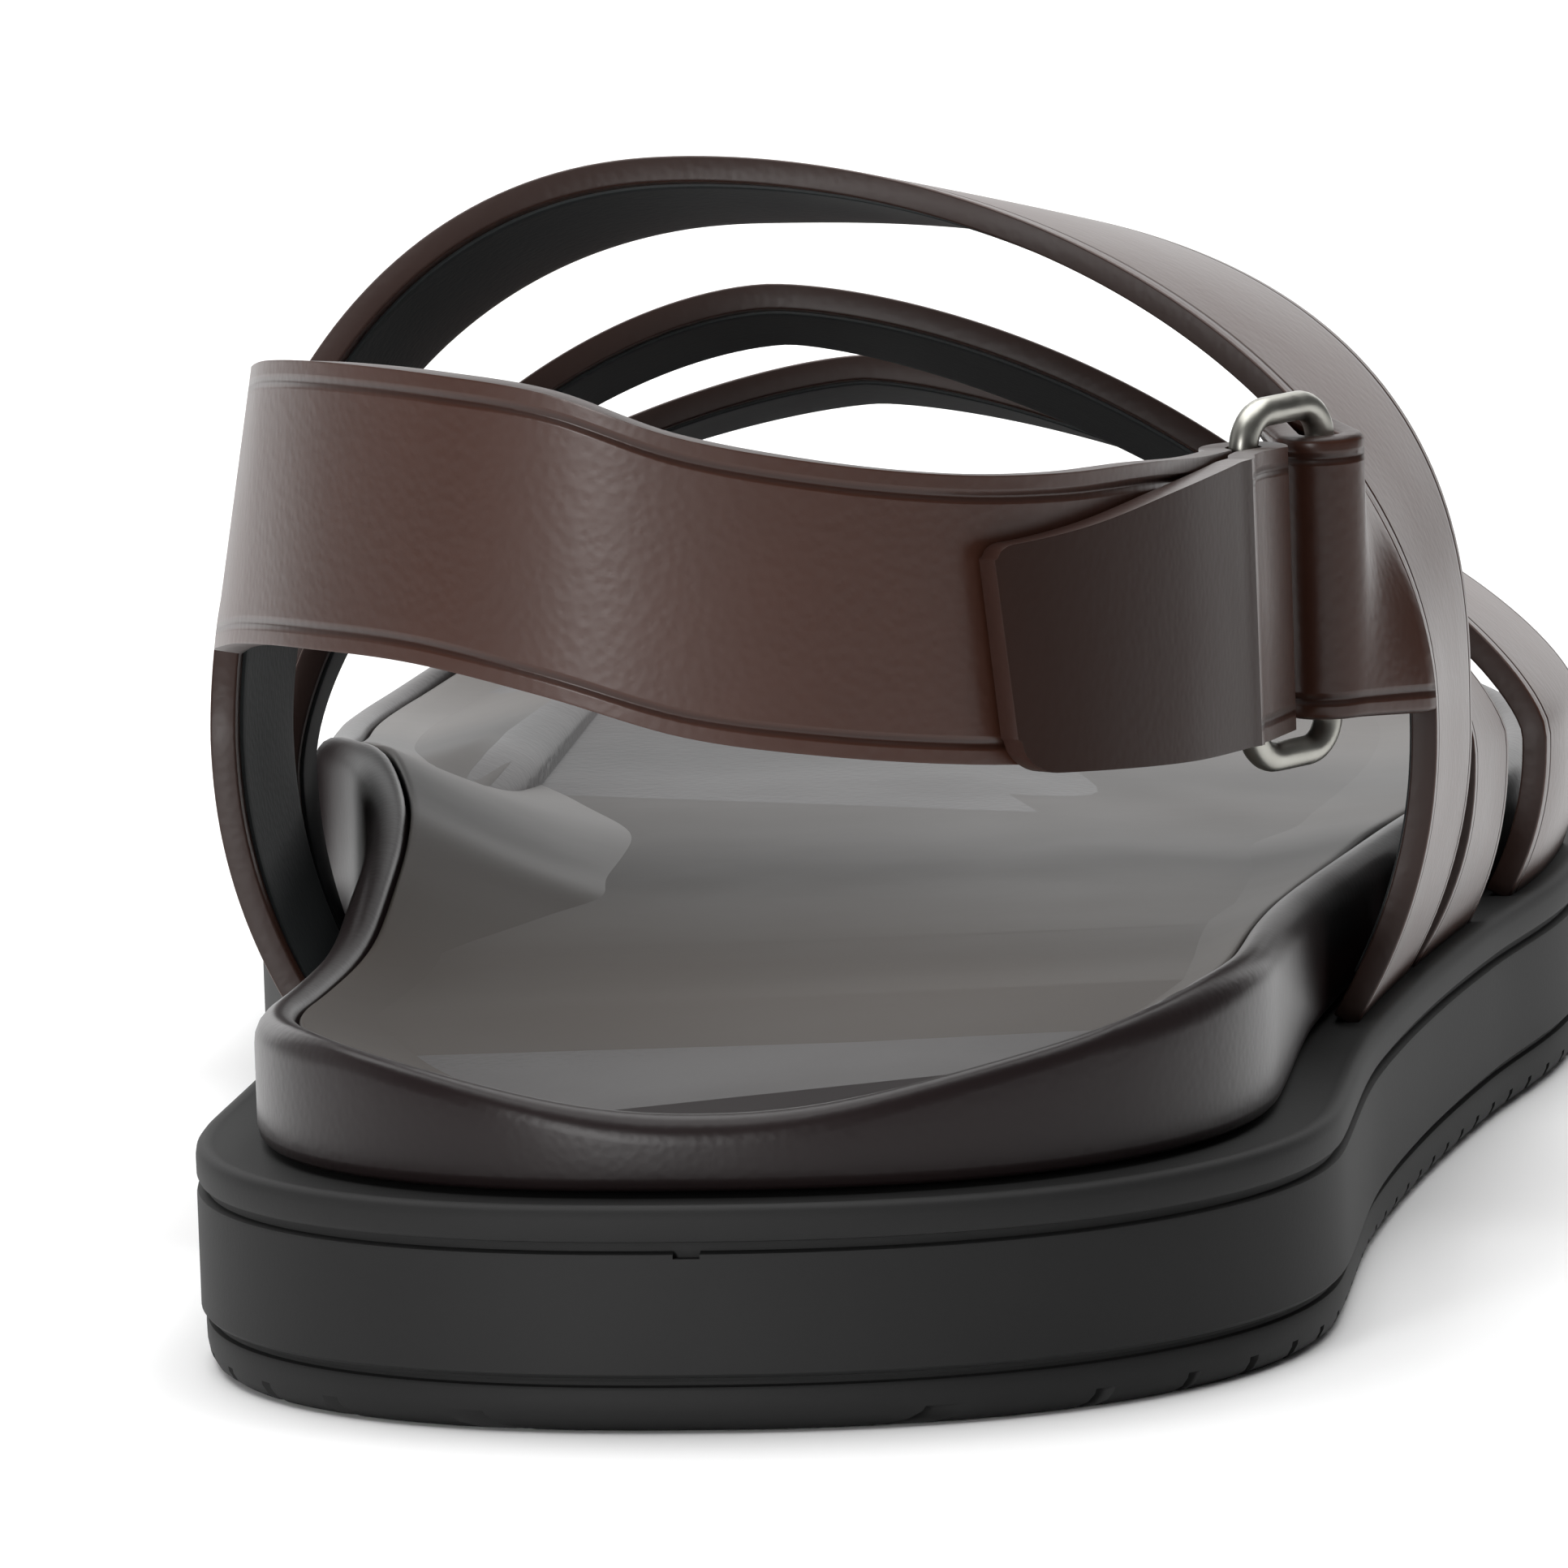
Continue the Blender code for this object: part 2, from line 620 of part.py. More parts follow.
def make_ring(collection):
    """Rectangular wire ring with round corners, standing in the strap's fold."""
    rear, front, slot_low, slot_high = ring_bars()
    low = slot_low - RING_ROOM - RING_WIRE / 2.0
    high = slot_high + RING_ROOM + RING_WIRE / 2.0
    corners = (
        (rear, low, 1, 1), (front, low, -1, 1), (front, high, -1, -1), (rear, high, 1, -1),
    )
    along = (front - rear).normalized()
    points = []
    for number, (bar, height, inward, up) in enumerate(corners):
        start = math.radians(180 + 90 * number)
        middle = Vector((bar.x, bar.y)) + along * inward * RING_CORNER
        for i in range(5):
            angle = start + math.radians(90) * i / 4
            spot = middle + along * math.cos(angle) * RING_CORNER
            z = height + up * RING_CORNER + math.sin(angle) * RING_CORNER
            points.append((spot.x, spot.y, z))
    curve = bpy.data.curves.new("ring", "CURVE")
    curve.dimensions = "3D"
    curve.bevel_depth = RING_WIRE / 2.0
    curve.bevel_resolution = 2
    spline = curve.splines.new("POLY")
    spline.points.add(len(points) - 1)
    for point, spot in zip(spline.points, points):
        point.co = (*spot, 1.0)
    spline.use_cyclic_u = True
    wire = bpy.data.objects.new("ring_wire", curve)
    obj = bpy.data.objects.new("ring", bpy.data.meshes.new_from_object(wire))
    bpy.data.objects.remove(wire)
    collection.objects.link(obj)
    return obj


def give_material(obj, name, colour, roughness, metallic=0.0):
    material = bpy.data.materials.new(name)
    material.use_nodes = True
    shader = material.node_tree.nodes["Principled BSDF"]
    shader.inputs["Base Color"].default_value = (*colour, 1.0)
    shader.inputs["Roughness"].default_value = roughness
    shader.inputs["Metallic"].default_value = metallic
    obj.data.materials.append(material)


def stand_on_floor(parts, collection):
    """Carry all parts on one empty and put the middle of their base at the origin."""
    bpy.context.view_layer.update()
    graph = bpy.context.evaluated_depsgraph_get()
    corners = []
    for obj in parts:
        seen = obj.evaluated_get(graph)
        corners += [seen.matrix_world @ Vector(corner) for corner in seen.bound_box]
    lows = [min(corner[axis] for corner in corners) for axis in range(3)]
    highs = [max(corner[axis] for corner in corners) for axis in range(3)]
    base = bpy.data.objects.new("sandal_base", None)
    collection.objects.link(base)
    for obj in parts:
        obj.parent = base
    base.location = (-(lows[0] + highs[0]) / 2.0, -(lows[1] + highs[1]) / 2.0, -lows[2])


def main():
    for obj in list(bpy.data.objects):
        bpy.data.objects.remove(obj)
    scene = bpy.context.scene
    sandal = bpy.data.collections.new("leather_sandal")
    cutters = bpy.data.collections.new("cutters")
    scene.collection.children.link(sandal)
    scene.collection.children.link(cutters)

    outsole = make_outsole(sandal)
    cutter = make_tread_cutter(cutters)
    cut_with(outsole, cutter)
    give_material(outsole, "black_rubber", (0.028, 0.028, 0.028), 0.62)
    footbed = make_footbed(sandal)
    give_material(footbed, "dark_brown_wrap", (0.030, 0.024, 0.022), 0.35)
    insole = make_insole(sandal)
    give_material(insole, "black_insole_leather", (0.020, 0.020, 0.020), 0.25)
    parts = [outsole, footbed, insole]
    for name in ("rear_vamp", "front_vamp"):
        strap = make_vamp_strap(name, sandal)
        give_material(strap, name + "_brown_leather", (0.055, 0.029, 0.021), 0.40)
        parts.append(strap)
    upper = make_upper(sandal)
    give_material(upper, "brown_strap_leather", (0.055, 0.029, 0.021), 0.40)
    ring = make_ring(sandal)
    give_material(ring, "gunmetal", (0.30, 0.30, 0.29), 0.30, metallic=1.0)
    parts += [upper, ring]
    stand_on_floor(parts, sandal)
    cutter.parent = outsole.parent
    for obj in parts:
        obj.data.shade_smooth()
        obj.data.set_sharp_from_angle(angle=math.radians(35))


main()
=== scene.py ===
# %% [markdown]
# A leather sandal, from the floor up
#
# This lesson dresses a plain solid model of a right sandal until it looks like the real one:
# a ribbed rubber sole, a wrapped footbed, a glossy insole, leather straps with a black
# lining, and a wire ring that closes the heel strap. The toe points along +X, the inner side
# of the foot is +Y, and every length is in metres.

# %% Load the solid model
import math
import bmesh
import bpy
from collections import namedtuple
from mathutils import Matrix, Vector, noise


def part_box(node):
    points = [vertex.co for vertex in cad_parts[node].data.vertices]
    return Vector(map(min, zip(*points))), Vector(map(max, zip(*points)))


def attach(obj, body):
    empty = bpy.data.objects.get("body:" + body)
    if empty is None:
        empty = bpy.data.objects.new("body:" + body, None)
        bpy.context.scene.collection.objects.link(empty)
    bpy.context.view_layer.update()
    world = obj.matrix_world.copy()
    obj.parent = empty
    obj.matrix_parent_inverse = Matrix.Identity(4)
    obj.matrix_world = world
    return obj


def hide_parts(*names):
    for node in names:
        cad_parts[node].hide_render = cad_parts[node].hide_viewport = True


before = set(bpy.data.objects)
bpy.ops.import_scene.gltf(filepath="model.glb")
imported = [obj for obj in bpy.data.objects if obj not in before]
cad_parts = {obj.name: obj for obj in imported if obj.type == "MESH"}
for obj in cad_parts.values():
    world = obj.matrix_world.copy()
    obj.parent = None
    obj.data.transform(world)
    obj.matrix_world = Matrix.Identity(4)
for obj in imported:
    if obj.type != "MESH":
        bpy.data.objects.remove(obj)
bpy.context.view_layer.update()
MM = 0.001

# %% [markdown]
# Sizes and tables
#
# A shoemaker works from a last and a few patterns. Ours are short tables: the outline of the
# sole, the height of the footbed's rim, and the two edges of each strap. Every piece below is
# worked out from them, so all pieces fit one another.

# %% Patterns of the sole and the footbed
SOLE_LENGTH = 0.298
BALL_WIDTH = 0.120
INSTEP_HEIGHT = 0.0905
HEEL_THICKNESS = 0.0188
TOE_THICKNESS = 0.0165
TOE_SPRING = 0.009
SPRING_START = 0.81
LEDGE_WIDTH = 0.0052
RIM_WIDTH = 0.0036
STRAP_THICKNESS = 0.0022
LAYER_GAP = 0.0004
CLEARANCE = 0.0003

# The rows hold shares, so that one new size changes the whole shoe. Places along the sole are
# shares of its length from the heel, sideways values of the ball width, rim heights of the
# heel's thickness and strap heights of the instep height.
SoleRow = namedtuple("SoleRow", "along centre half_width")
RimRow = namedtuple("RimRow", "along middle inner_rim outer_rim")
EdgeRow = namedtuple("EdgeRow", "inner_at crest_at outer_at inner_bulge outer_bulge "
                     "widest crest crest_side inner_power outer_power")
BandRow = namedtuple("BandRow", "along side lean low high")

SOLE_ROWS = [SoleRow(*row) for row in (
    # along, centre, half_width
    (0.00, 0.000, 0.398),
    (0.15, -0.004, 0.397),
    (0.30, -0.001, 0.391),
    (0.40, 0.001, 0.404),
    (0.50, 0.015, 0.440),
    (0.60, 0.031, 0.487),
    (0.70, 0.044, 0.501),
    (0.80, 0.071, 0.505),
    (0.90, 0.114, 0.504),
    (1.00, 0.159, 0.500),
)]
RIM_ROWS = [RimRow(*row) for row in (
    # along, middle, inner_rim, outer_rim
    (0.00, 0.34, 0.60, 0.60),
    (0.03, 0.31, 0.60, 0.60),
    (0.07, 0.23, 0.58, 0.62),
    (0.12, 0.18, 0.54, 0.68),
    (0.20, 0.18, 0.50, 0.66),
    (0.27, 0.22, 0.52, 0.60),
    (0.35, 0.27, 0.70, 0.54),
    (0.42, 0.31, 0.80, 0.50),
    (0.49, 0.33, 0.86, 0.48),
    (0.57, 0.32, 0.76, 0.46),
    (0.67, 0.29, 0.56, 0.44),
    (0.77, 0.27, 0.46, 0.43),
    (0.90, 0.28, 0.45, 0.44),
    (0.97, 0.33, 0.46, 0.46),
    (1.00, 0.35, 0.46, 0.46),
)]

# %% Patterns of the straps
ARCHES = {
    "instep": (
        EdgeRow(inner_at=0.301, crest_at=0.376, outer_at=0.317,
                inner_bulge=0.066, outer_bulge=0.063, widest=0.49, crest=1.003,
                crest_side=0.110, inner_power=2.25, outer_power=1.90),
        EdgeRow(inner_at=0.399, crest_at=0.470, outer_at=0.413,
                inner_bulge=0.048, outer_bulge=0.052, widest=0.45, crest=0.923,
                crest_side=0.075, inner_power=2.20, outer_power=2.60),
    ),
    "rear_vamp": (
        EdgeRow(inner_at=0.408, crest_at=0.483, outer_at=0.421,
                inner_bulge=0.046, outer_bulge=0.050, widest=0.40, crest=0.835,
                crest_side=0.083, inner_power=1.75, outer_power=1.62),
        EdgeRow(inner_at=0.506, crest_at=0.577, outer_at=0.509,
                inner_bulge=0.021, outer_bulge=0.032, widest=0.37, crest=0.760,
                crest_side=0.100, inner_power=1.70, outer_power=1.42),
    ),
    "front_vamp": (
        EdgeRow(inner_at=0.592, crest_at=0.614, outer_at=0.558,
                inner_bulge=0.028, outer_bulge=0.031, widest=0.35, crest=0.708,
                crest_side=0.058, inner_power=1.52, outer_power=1.46),
        EdgeRow(inner_at=0.700, crest_at=0.708, outer_at=0.665,
                inner_bulge=0.033, outer_bulge=0.017, widest=0.33, crest=0.644,
                crest_side=0.075, inner_power=1.50, outer_power=1.50),
    ),
}
HEEL_STRAP_ROWS = [BandRow(*row) for row in (
    # along, side, lean, low, high
    (0.262, 0.396, 0.042, 0.597, 0.851),
    (0.215, 0.385, 0.036, 0.613, 0.873),
    (0.161, 0.363, 0.032, 0.641, 0.901),
    (0.111, 0.326, 0.027, 0.669, 0.928),
    (0.067, 0.266, 0.022, 0.685, 0.945),
    (0.037, 0.183, 0.016, 0.685, 0.947),
    (0.022, 0.092, 0.008, 0.661, 0.934),
    (0.019, 0.000, 0.000, 0.624, 0.895),
    (0.025, -0.092, 0.000, 0.602, 0.867),
    (0.044, -0.179, -0.004, 0.583, 0.845),
    (0.074, -0.240, -0.004, 0.568, 0.831),
    (0.121, -0.284, -0.003, 0.550, 0.818),
    (0.174, -0.304, -0.002, 0.533, 0.798),
    (0.228, -0.310, 0.000, 0.515, 0.780),
)]
RING_PLACE = BandRow(along=0.2668, side=-0.3167, lean=0.0, low=0.500, high=0.765)
RING_WIRE = 0.0025
RING_REACH = 0.0102
RING_TURN = math.radians(-33)
RING_ROOM = 0.0014
RING_CORNER = 0.0030
FOLD_RADIUS = RING_WIRE / 2.0 + CLEARANCE + STRAP_THICKNESS / 2.0

# %% [markdown]
# Reading the patterns
#
# Between two rows of a table the shape should flow, not kink. A Hermite curve through the
# rows does that, as a flexible batten does on a pattern maker's table. The outline closes at
# heel and toe with a rounded cap, squarer than a circle, like a real sole.


# %% Outline of the sole and height of the bed
def read_table(rows, along, column):
    """One column of a table at a share of the length, along a smooth curve."""
    keys = [row.along for row in rows]
    values = [getattr(row, column) for row in rows]
    last = len(rows) - 1
    place = max(i for i in range(last) if i == 0 or keys[i] <= along)

    def slope(i):
        if 0 < i < last:
            before = keys[i] - keys[i - 1]
            after = keys[i + 1] - keys[i]
            back = (values[i] - values[i - 1]) / before
            ahead = (values[i + 1] - values[i]) / after
            return (back * after + ahead * before) / (before + after)
        a = 0 if i == 0 else last - 1
        return (values[a + 1] - values[a]) / (keys[a + 1] - keys[a])

    span = keys[place + 1] - keys[place]
    t = min(1.0, max(0.0, (along - keys[place]) / span))
    start = values[place] * (1 + 2 * t) * (1 - t) ** 2 + slope(place) * span * t * (1 - t) ** 2
    end = values[place + 1] * t * t * (3 - 2 * t)
    return start + end + slope(place + 1) * span * t * t * (t - 1)


HEEL_CURVE = 0.050
HEEL_SQUARENESS = 2.3
TOE_CURVE = 0.090
TOE_SQUARENESS = 2.15


def cap_factor(distance, curve, squareness):
    """Share of the full width at a distance from a rounded tip; squareness 2 is a circle."""
    short = max(0.0, 1.0 - distance / curve)
    return (1.0 - short ** squareness) ** (1.0 / squareness)


def sole_edge(along, side):
    """Outline point at a share of the length; side is 1 on the inner side, -1 outside."""
    half = read_table(SOLE_ROWS, along, "half_width") * BALL_WIDTH
    half *= cap_factor(along * SOLE_LENGTH, HEEL_CURVE, HEEL_SQUARENESS)
    half *= cap_factor((1.0 - along) * SOLE_LENGTH, TOE_CURVE, TOE_SQUARENESS)
    centre = read_table(SOLE_ROWS, along, "centre") * BALL_WIDTH
    return Vector((along * SOLE_LENGTH, centre + side * half))


def toe_lift(x):
    """How far the sole is bent up: nothing as far as the ball, then more and more."""
    past = max(0.0, x / SOLE_LENGTH - SPRING_START) / (1.0 - SPRING_START)
    return TOE_SPRING * past ** 2


def sole_thickness(x):
    """The sole thins evenly from heel to toe."""
    along = min(1.0, max(0.0, x / SOLE_LENGTH))
    return HEEL_THICKNESS + (TOE_THICKNESS - HEEL_THICKNESS) * along


def ledge_height(x):
    """Height of the ledge that the footbed and the straps stand on."""
    return toe_lift(x) + sole_thickness(x)


def side_share(x, y):
    """Place across the sole: 1 at its inner edge, 0 in the middle, -1 at its outer edge."""
    along = min(0.999, max(0.001, x / SOLE_LENGTH))
    inner = sole_edge(along, 1).y
    outer = sole_edge(along, -1).y
    return max(-1.0, min(1.0, (2.0 * y - inner - outer) / max(inner - outer, 1e-6)))


BED_HALF_WIDTH = 0.4 * BALL_WIDTH
CUP_POWER = 2.3


def bed_height(x, y):
    """Top of the insole: a cup at the heel with a raised arch on the inner side."""
    along = min(1.0, max(0.0, x / SOLE_LENGTH))
    full = 1.0 - (LEDGE_WIDTH + RIM_WIDTH) / BED_HALF_WIDTH
    across = max(-1.0, min(1.0, side_share(x, y) / full))
    middle = read_table(RIM_ROWS, along, "middle")
    side = read_table(RIM_ROWS, along, "inner_rim" if across > 0.0 else "outer_rim")
    rise = middle + (side - middle) * abs(across) ** CUP_POWER
    return ledge_height(x) + HEEL_THICKNESS * rise


STATIONS = 300


def outline(station, inset):
    """Point of the outline moved inwards; stations run heel, inner side, toe, outer side."""
    def point(number):
        angle = 2.0 * math.pi * (number % STATIONS) / STATIONS
        share = (1.0 - math.cos(angle)) / 2.0
        return sole_edge(share, 1 if angle <= math.pi else -1)
    run = point(station + 1) - point(station - 1)
    return point(station) - Vector((-run.y, run.x)).normalized() * inset


# The solid model is centred on the frame, while the patterns start at the heel.
outer_side = min(sole_edge(i / 400, -1).y for i in range(401))
box_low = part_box("outsole")[0]
TO_ROW = Vector((box_low.x, box_low.y - outer_side, 0.0))
print("heel tip of the outline lies at, mm:", [round(v / MM, 1) for v in TO_ROW])

# %% [markdown]
# Camera, floor and light
#
# The shoe is seen from behind and slightly from its outer side, from far away with a long
# lens. Catalogue pictures are lit in a white cove: the floor and the wall ahead glow, and the
# side toward the camera stays darker, which is what draws the soft bands on the leather.

# %% Camera
# Fitted until the outlines of the sole and the straps lay on those of the photo. The picture
# scale is the size of one photo pixel at the shoe, and the shifts are in those pixels.
AIM = Vector((0.110, 0.0, 0.040))
TURN = math.radians(7.5)
RISE = math.radians(8.5)
ROLL = math.radians(1.95)
DISTANCE = 1.9
PICTURE_SCALE = 0.2118 * MM
PICTURE_SIZE = 1932
ZOOM = 3.05
SHIFT_RIGHT = -27
SHIFT_UP = -15
SENSOR_MM = 36.0

ahead = Vector((math.cos(TURN) * math.cos(RISE),
                math.sin(TURN) * math.cos(RISE),
                -math.sin(RISE)))
rightward = Vector((math.sin(TURN), -math.cos(TURN), 0.0))
upward = rightward.cross(ahead)
picture_middle = AIM + rightward * (SHIFT_RIGHT * PICTURE_SCALE)
picture_middle += upward * (SHIFT_UP * PICTURE_SCALE)
side_axis = rightward * math.cos(ROLL) - upward * math.sin(ROLL)
up_axis = rightward * math.sin(ROLL) + upward * math.cos(ROLL)

camera = bpy.data.objects.new("camera", bpy.data.cameras.new("camera"))
bpy.context.scene.collection.objects.link(camera)
camera.rotation_euler = Matrix((side_axis, up_axis, -ahead)).transposed().to_euler()
camera.location = picture_middle + TO_ROW - ahead * DISTANCE
camera.data.sensor_width = SENSOR_MM
camera.data.lens = SENSOR_MM * ZOOM * DISTANCE / PICTURE_SCALE / PICTURE_SIZE
camera.data.clip_end = 50.0
bpy.context.scene.camera = camera
print("lens, mm:", round(camera.data.lens))


# %% A helper for material nodes
def to_linear(hex_colour):
    """Linear colour of a hex colour as a screen shows it."""
    parts = [int(hex_colour[i:i + 2], 16) / 255.0 for i in (1, 3, 5)]
    line = [p / 12.92 if p <= 0.04045 else ((p + 0.055) / 1.055) ** 2.4 for p in parts]
    return (*line, 1.0)


def add_node(tree, kind, settings=None, **inputs):
    """Add a node, set its properties, and link or set its inputs, by name or as _ and number."""
    node = tree.nodes.new(kind)
    for key, value in (settings or {}).items():
        setattr(node, key, value)
    for key, value in inputs.items():
        numbered = key[1:].isdigit()
        socket = node.inputs[int(key[1:]) if numbered else key.replace("_", " ")]
        if isinstance(value, bpy.types.NodeSocket):
            tree.links.new(value, socket)
        else:
            socket.default_value = value
    return node


# %% Floor and lights
FLOOR_REACH = 9.0


def area_light(name, place, aim, width, height, power):
    """A rectangular white lamp at one point, turned toward another."""
    light = bpy.data.lights.new(name, "AREA")
    light.shape = "RECTANGLE"
    light.size = width
    light.size_y = height
    light.energy = power
    lamp = bpy.data.objects.new(name, light)
    lamp.location = place
    lamp.rotation_euler = (Vector(aim) - Vector(place)).to_track_quat("-Z", "Y").to_euler()
    bpy.context.scene.collection.objects.link(lamp)


floor_mesh = bmesh.new()
bmesh.ops.create_grid(floor_mesh, x_segments=4, y_segments=4, size=FLOOR_REACH)
floor = bpy.data.objects.new("floor", bpy.data.meshes.new("floor"))
floor_mesh.to_mesh(floor.data)
floor_mesh.free()
bpy.context.scene.collection.objects.link(floor)
# Matt background paper, a little below pure white, so that the shadows on it stay soft grey.
paper = bpy.data.materials.new("white_seamless_paper")
paper.use_nodes = True
paper_shader = paper.node_tree.nodes["Principled BSDF"]
paper_shader.inputs["Base Color"].default_value = to_linear("#fbfbfb")
paper_shader.inputs["Roughness"].default_value = 0.9
paper_shader.inputs["Specular IOR Level"].default_value = 0.1
floor.data.materials.append(paper)

world = bpy.data.worlds.new("studio")
bpy.context.scene.world = world
world.use_nodes = True
background = world.node_tree.nodes["Background"]
background.inputs["Color"].default_value = (1.0, 1.0, 1.0, 1.0)
background.inputs["Strength"].default_value = 0.08
bpy.context.scene.view_settings.view_transform = "Standard"
# The softbox overhead gives the even light from above and keeps the paper white.
area_light("overhead_softbox", place=(0.3, 0.1, 1.6), aim=(0.1, 0.0, 0.0),
           width=2.2, height=2.2, power=51)
# The bright wall beyond the toe is what the insole mirrors.
area_light("far_wall_glow", place=(3.0, 0.4, 0.9), aim=(0.0, 0.0, 0.1),
           width=4.0, height=1.8, power=31)
# A dim wall on the inner side opens the shade between the straps.
area_light("inner_side_wall", place=(0.6, 2.2, 0.7), aim=(0.0, 0.0, 0.06),
           width=2.6, height=1.4, power=5.0)
# A narrow softbox behind the heel draws the highlight on the heel strap.
area_light("heel_softbox", place=(-1.5, 0.50, 0.26), aim=(-0.14, 0.0, 0.06),
           width=0.30, height=0.50, power=10.5)

# %% [markdown]
# Leather, rubber and metal
#
# Chrome tanned leather with a smooth finish has a fine pebble grain, slow changes of tone and
# a satin gloss. Rubber from a steel mould is matt and nearly even. The insole is polished, so
# at this low angle it mirrors the bright wall. Grain and creases go in as bump, tone as colour.


# %% Leather
# Noise scales are waves per metre: tone drifts over about 26 mm, creases lie 8 mm apart and
# fibres 1.1 mm. Pebbles have their own size in mm.
TONE_SCALE = 38.0
CREASE_SCALE = 120.0
FIBRE_SCALE = 900.0


def new_material(name):
    """A material with nodes, its tree and its shader."""
    material = bpy.data.materials.new(name)
    material.use_nodes = True
    tree = material.node_tree
    return material, tree, tree.nodes["Principled BSDF"]


def leather(name, light, dark, roughness, pebble_mm=0.8, depth_mm=0.04, edge_line=False,
            dull_at=None, specular=0.5):
    """Smooth leather: pebble grain of a real size, slow tone changes and satin gloss."""
    material, tree, shader = new_material(name)
    where = add_node(tree, "ShaderNodeTexCoord")
    coords = where.outputs["Object"]
    tone = add_node(tree, "ShaderNodeTexNoise", Vector=coords, Scale=TONE_SCALE, Detail=4.0)
    mix = add_node(tree, "ShaderNodeMix", {"data_type": "RGBA"},
                   _0=tone.outputs["Fac"], _6=to_linear(dark), _7=to_linear(light))
    pebble = add_node(tree, "ShaderNodeTexVoronoi", {"feature": "SMOOTH_F1"},
                      Vector=coords, Scale=1.0 / (pebble_mm * MM), Smoothness=0.6)
    fibre = add_node(tree, "ShaderNodeTexNoise", Vector=coords, Scale=FIBRE_SCALE, Detail=3.0)
    height = add_node(tree, "ShaderNodeMath", {"operation": "MULTIPLY_ADD"},
                      _0=fibre.outputs["Fac"], _1=0.5, _2=pebble.outputs["Distance"])
    crease = add_node(tree, "ShaderNodeTexNoise", Vector=coords, Scale=CREASE_SCALE, Detail=2.0)
    soft = add_node(tree, "ShaderNodeBump", Height=crease.outputs["Fac"], Distance=0.20 * MM,
                    Strength=0.18)
    bump = add_node(tree, "ShaderNodeBump", Height=height.outputs[0], Distance=depth_mm * MM,
                    Strength=0.5, Normal=soft.outputs[0])
    gloss = add_node(tree, "ShaderNodeMapRange", Value=tone.outputs["Fac"],
                     _3=roughness - 0.05, _4=roughness + 0.07)
    colour = mix.outputs[2]
    if dull_at:
        # Rubbed dull within 15 mm of this place, fading to the full polish at 100 mm.
        away = add_node(tree, "ShaderNodeVectorMath", {"operation": "DISTANCE"},
                        _0=coords, _1=dull_at)
        worn = add_node(tree, "ShaderNodeMapRange", {"interpolation_type": "SMOOTHSTEP"},
                        Value=away.outputs["Value"], _1=15 * MM, _2=100 * MM, _3=0.28, _4=0.0)
        gloss = add_node(tree, "ShaderNodeMath", {"operation": "ADD"},
                         _0=gloss.outputs[0], _1=worn.outputs[0])
    if edge_line:
        # The rolled edge is a bead 1.1 mm wide; the line pressed beside it ends at 2.4 mm.
        place = add_node(tree, "ShaderNodeSeparateXYZ", Vector=where.outputs["UV"])
        bead = add_node(tree, "ShaderNodeMapRange", {"interpolation_type": "SMOOTHSTEP"},
                        Value=place.outputs["Y"], _1=1.1 * MM, _2=1.9 * MM, _3=1.0, _4=0.0)
        flat = add_node(tree, "ShaderNodeMapRange", {"interpolation_type": "SMOOTHSTEP"},
                        Value=place.outputs["Y"], _1=1.6 * MM, _2=2.4 * MM, _3=0.0, _4=1.0)
        trough = add_node(tree, "ShaderNodeMath", {"operation": "ADD"},
                          _0=bead.outputs[0], _1=flat.outputs[0])
        bump = add_node(tree, "ShaderNodeBump", Height=trough.outputs[0], Distance=0.35 * MM,
                        Strength=0.9, Normal=bump.outputs[0])
        # The pressed line is also darkened in colour: painted shade in the crease.
        colour = add_node(tree, "ShaderNodeMix", {"data_type": "RGBA", "blend_type": "MULTIPLY"},
                          _0=add_node(tree, "ShaderNodeMapRange", Value=trough.outputs[0],
                                      _1=0.4, _2=1.0, _3=0.45, _4=0.0).outputs[0],
                          _6=colour, _7=to_linear("#5a4a46")).outputs[2]
    tree.links.new(colour, shader.inputs["Base Color"])
    tree.links.new(gloss.outputs[0], shader.inputs["Roughness"])
    tree.links.new(bump.outputs[0], shader.inputs["Normal"])
    shader.inputs["IOR"].default_value = 1.48
    shader.inputs["Specular IOR Level"].default_value = specular
    return material


# Full grain hide, waxed smooth: an even dark brown with a satin shine, and a pressed line
# beside the rolled edge, darkened with painted shade, that makes the strap look thick.
brown_leather = leather("smooth_brown_strap_leather", "#44271d", "#331e16", roughness=0.33,
                        pebble_mm=0.9, edge_line=True, specular=0.42)
# The cut edge of the folded end, rubbed with wax: it catches a thin line of light.
folded_edge = leather("burnished_folded_edge", "#39251f", "#2e1c17", roughness=0.34)
# The same hide at the folded end, with the shade that falls there painted into its colour:
# darker and nearly without shine, so that the end stands apart from the band behind it.
folded_leather_with_painted_shade = leather("folded_end_leather_painted_shade", "#2c1a15", "#24150f", roughness=0.5,
                         pebble_mm=0.9, specular=0.12)
# Leather turned over at the strap's edge: duller than the face, so it draws a quiet rim. Its
# darker colour is partly the edge's own stain and partly painted shade.
edge_leather = leather("turned_leather_edge", "#36241f", "#2a1d19", roughness=0.42,
                       specular=0.35)
# Black pigskin inside the straps: matt and a little cool, so the inside sinks back.
lining_leather = leather("black_pigskin_lining", "#2d3132", "#222526", roughness=0.55,
                         pebble_mm=0.7, depth_mm=0.05, specular=0.3)
# Thin leather glued round the cork block: nearly black, with a soft shine along the rim.
wrap_leather = leather("dark_brown_footbed_wrap", "#221a1a", "#1a1415", roughness=0.33,
                       depth_mm=0.03, specular=0.26)
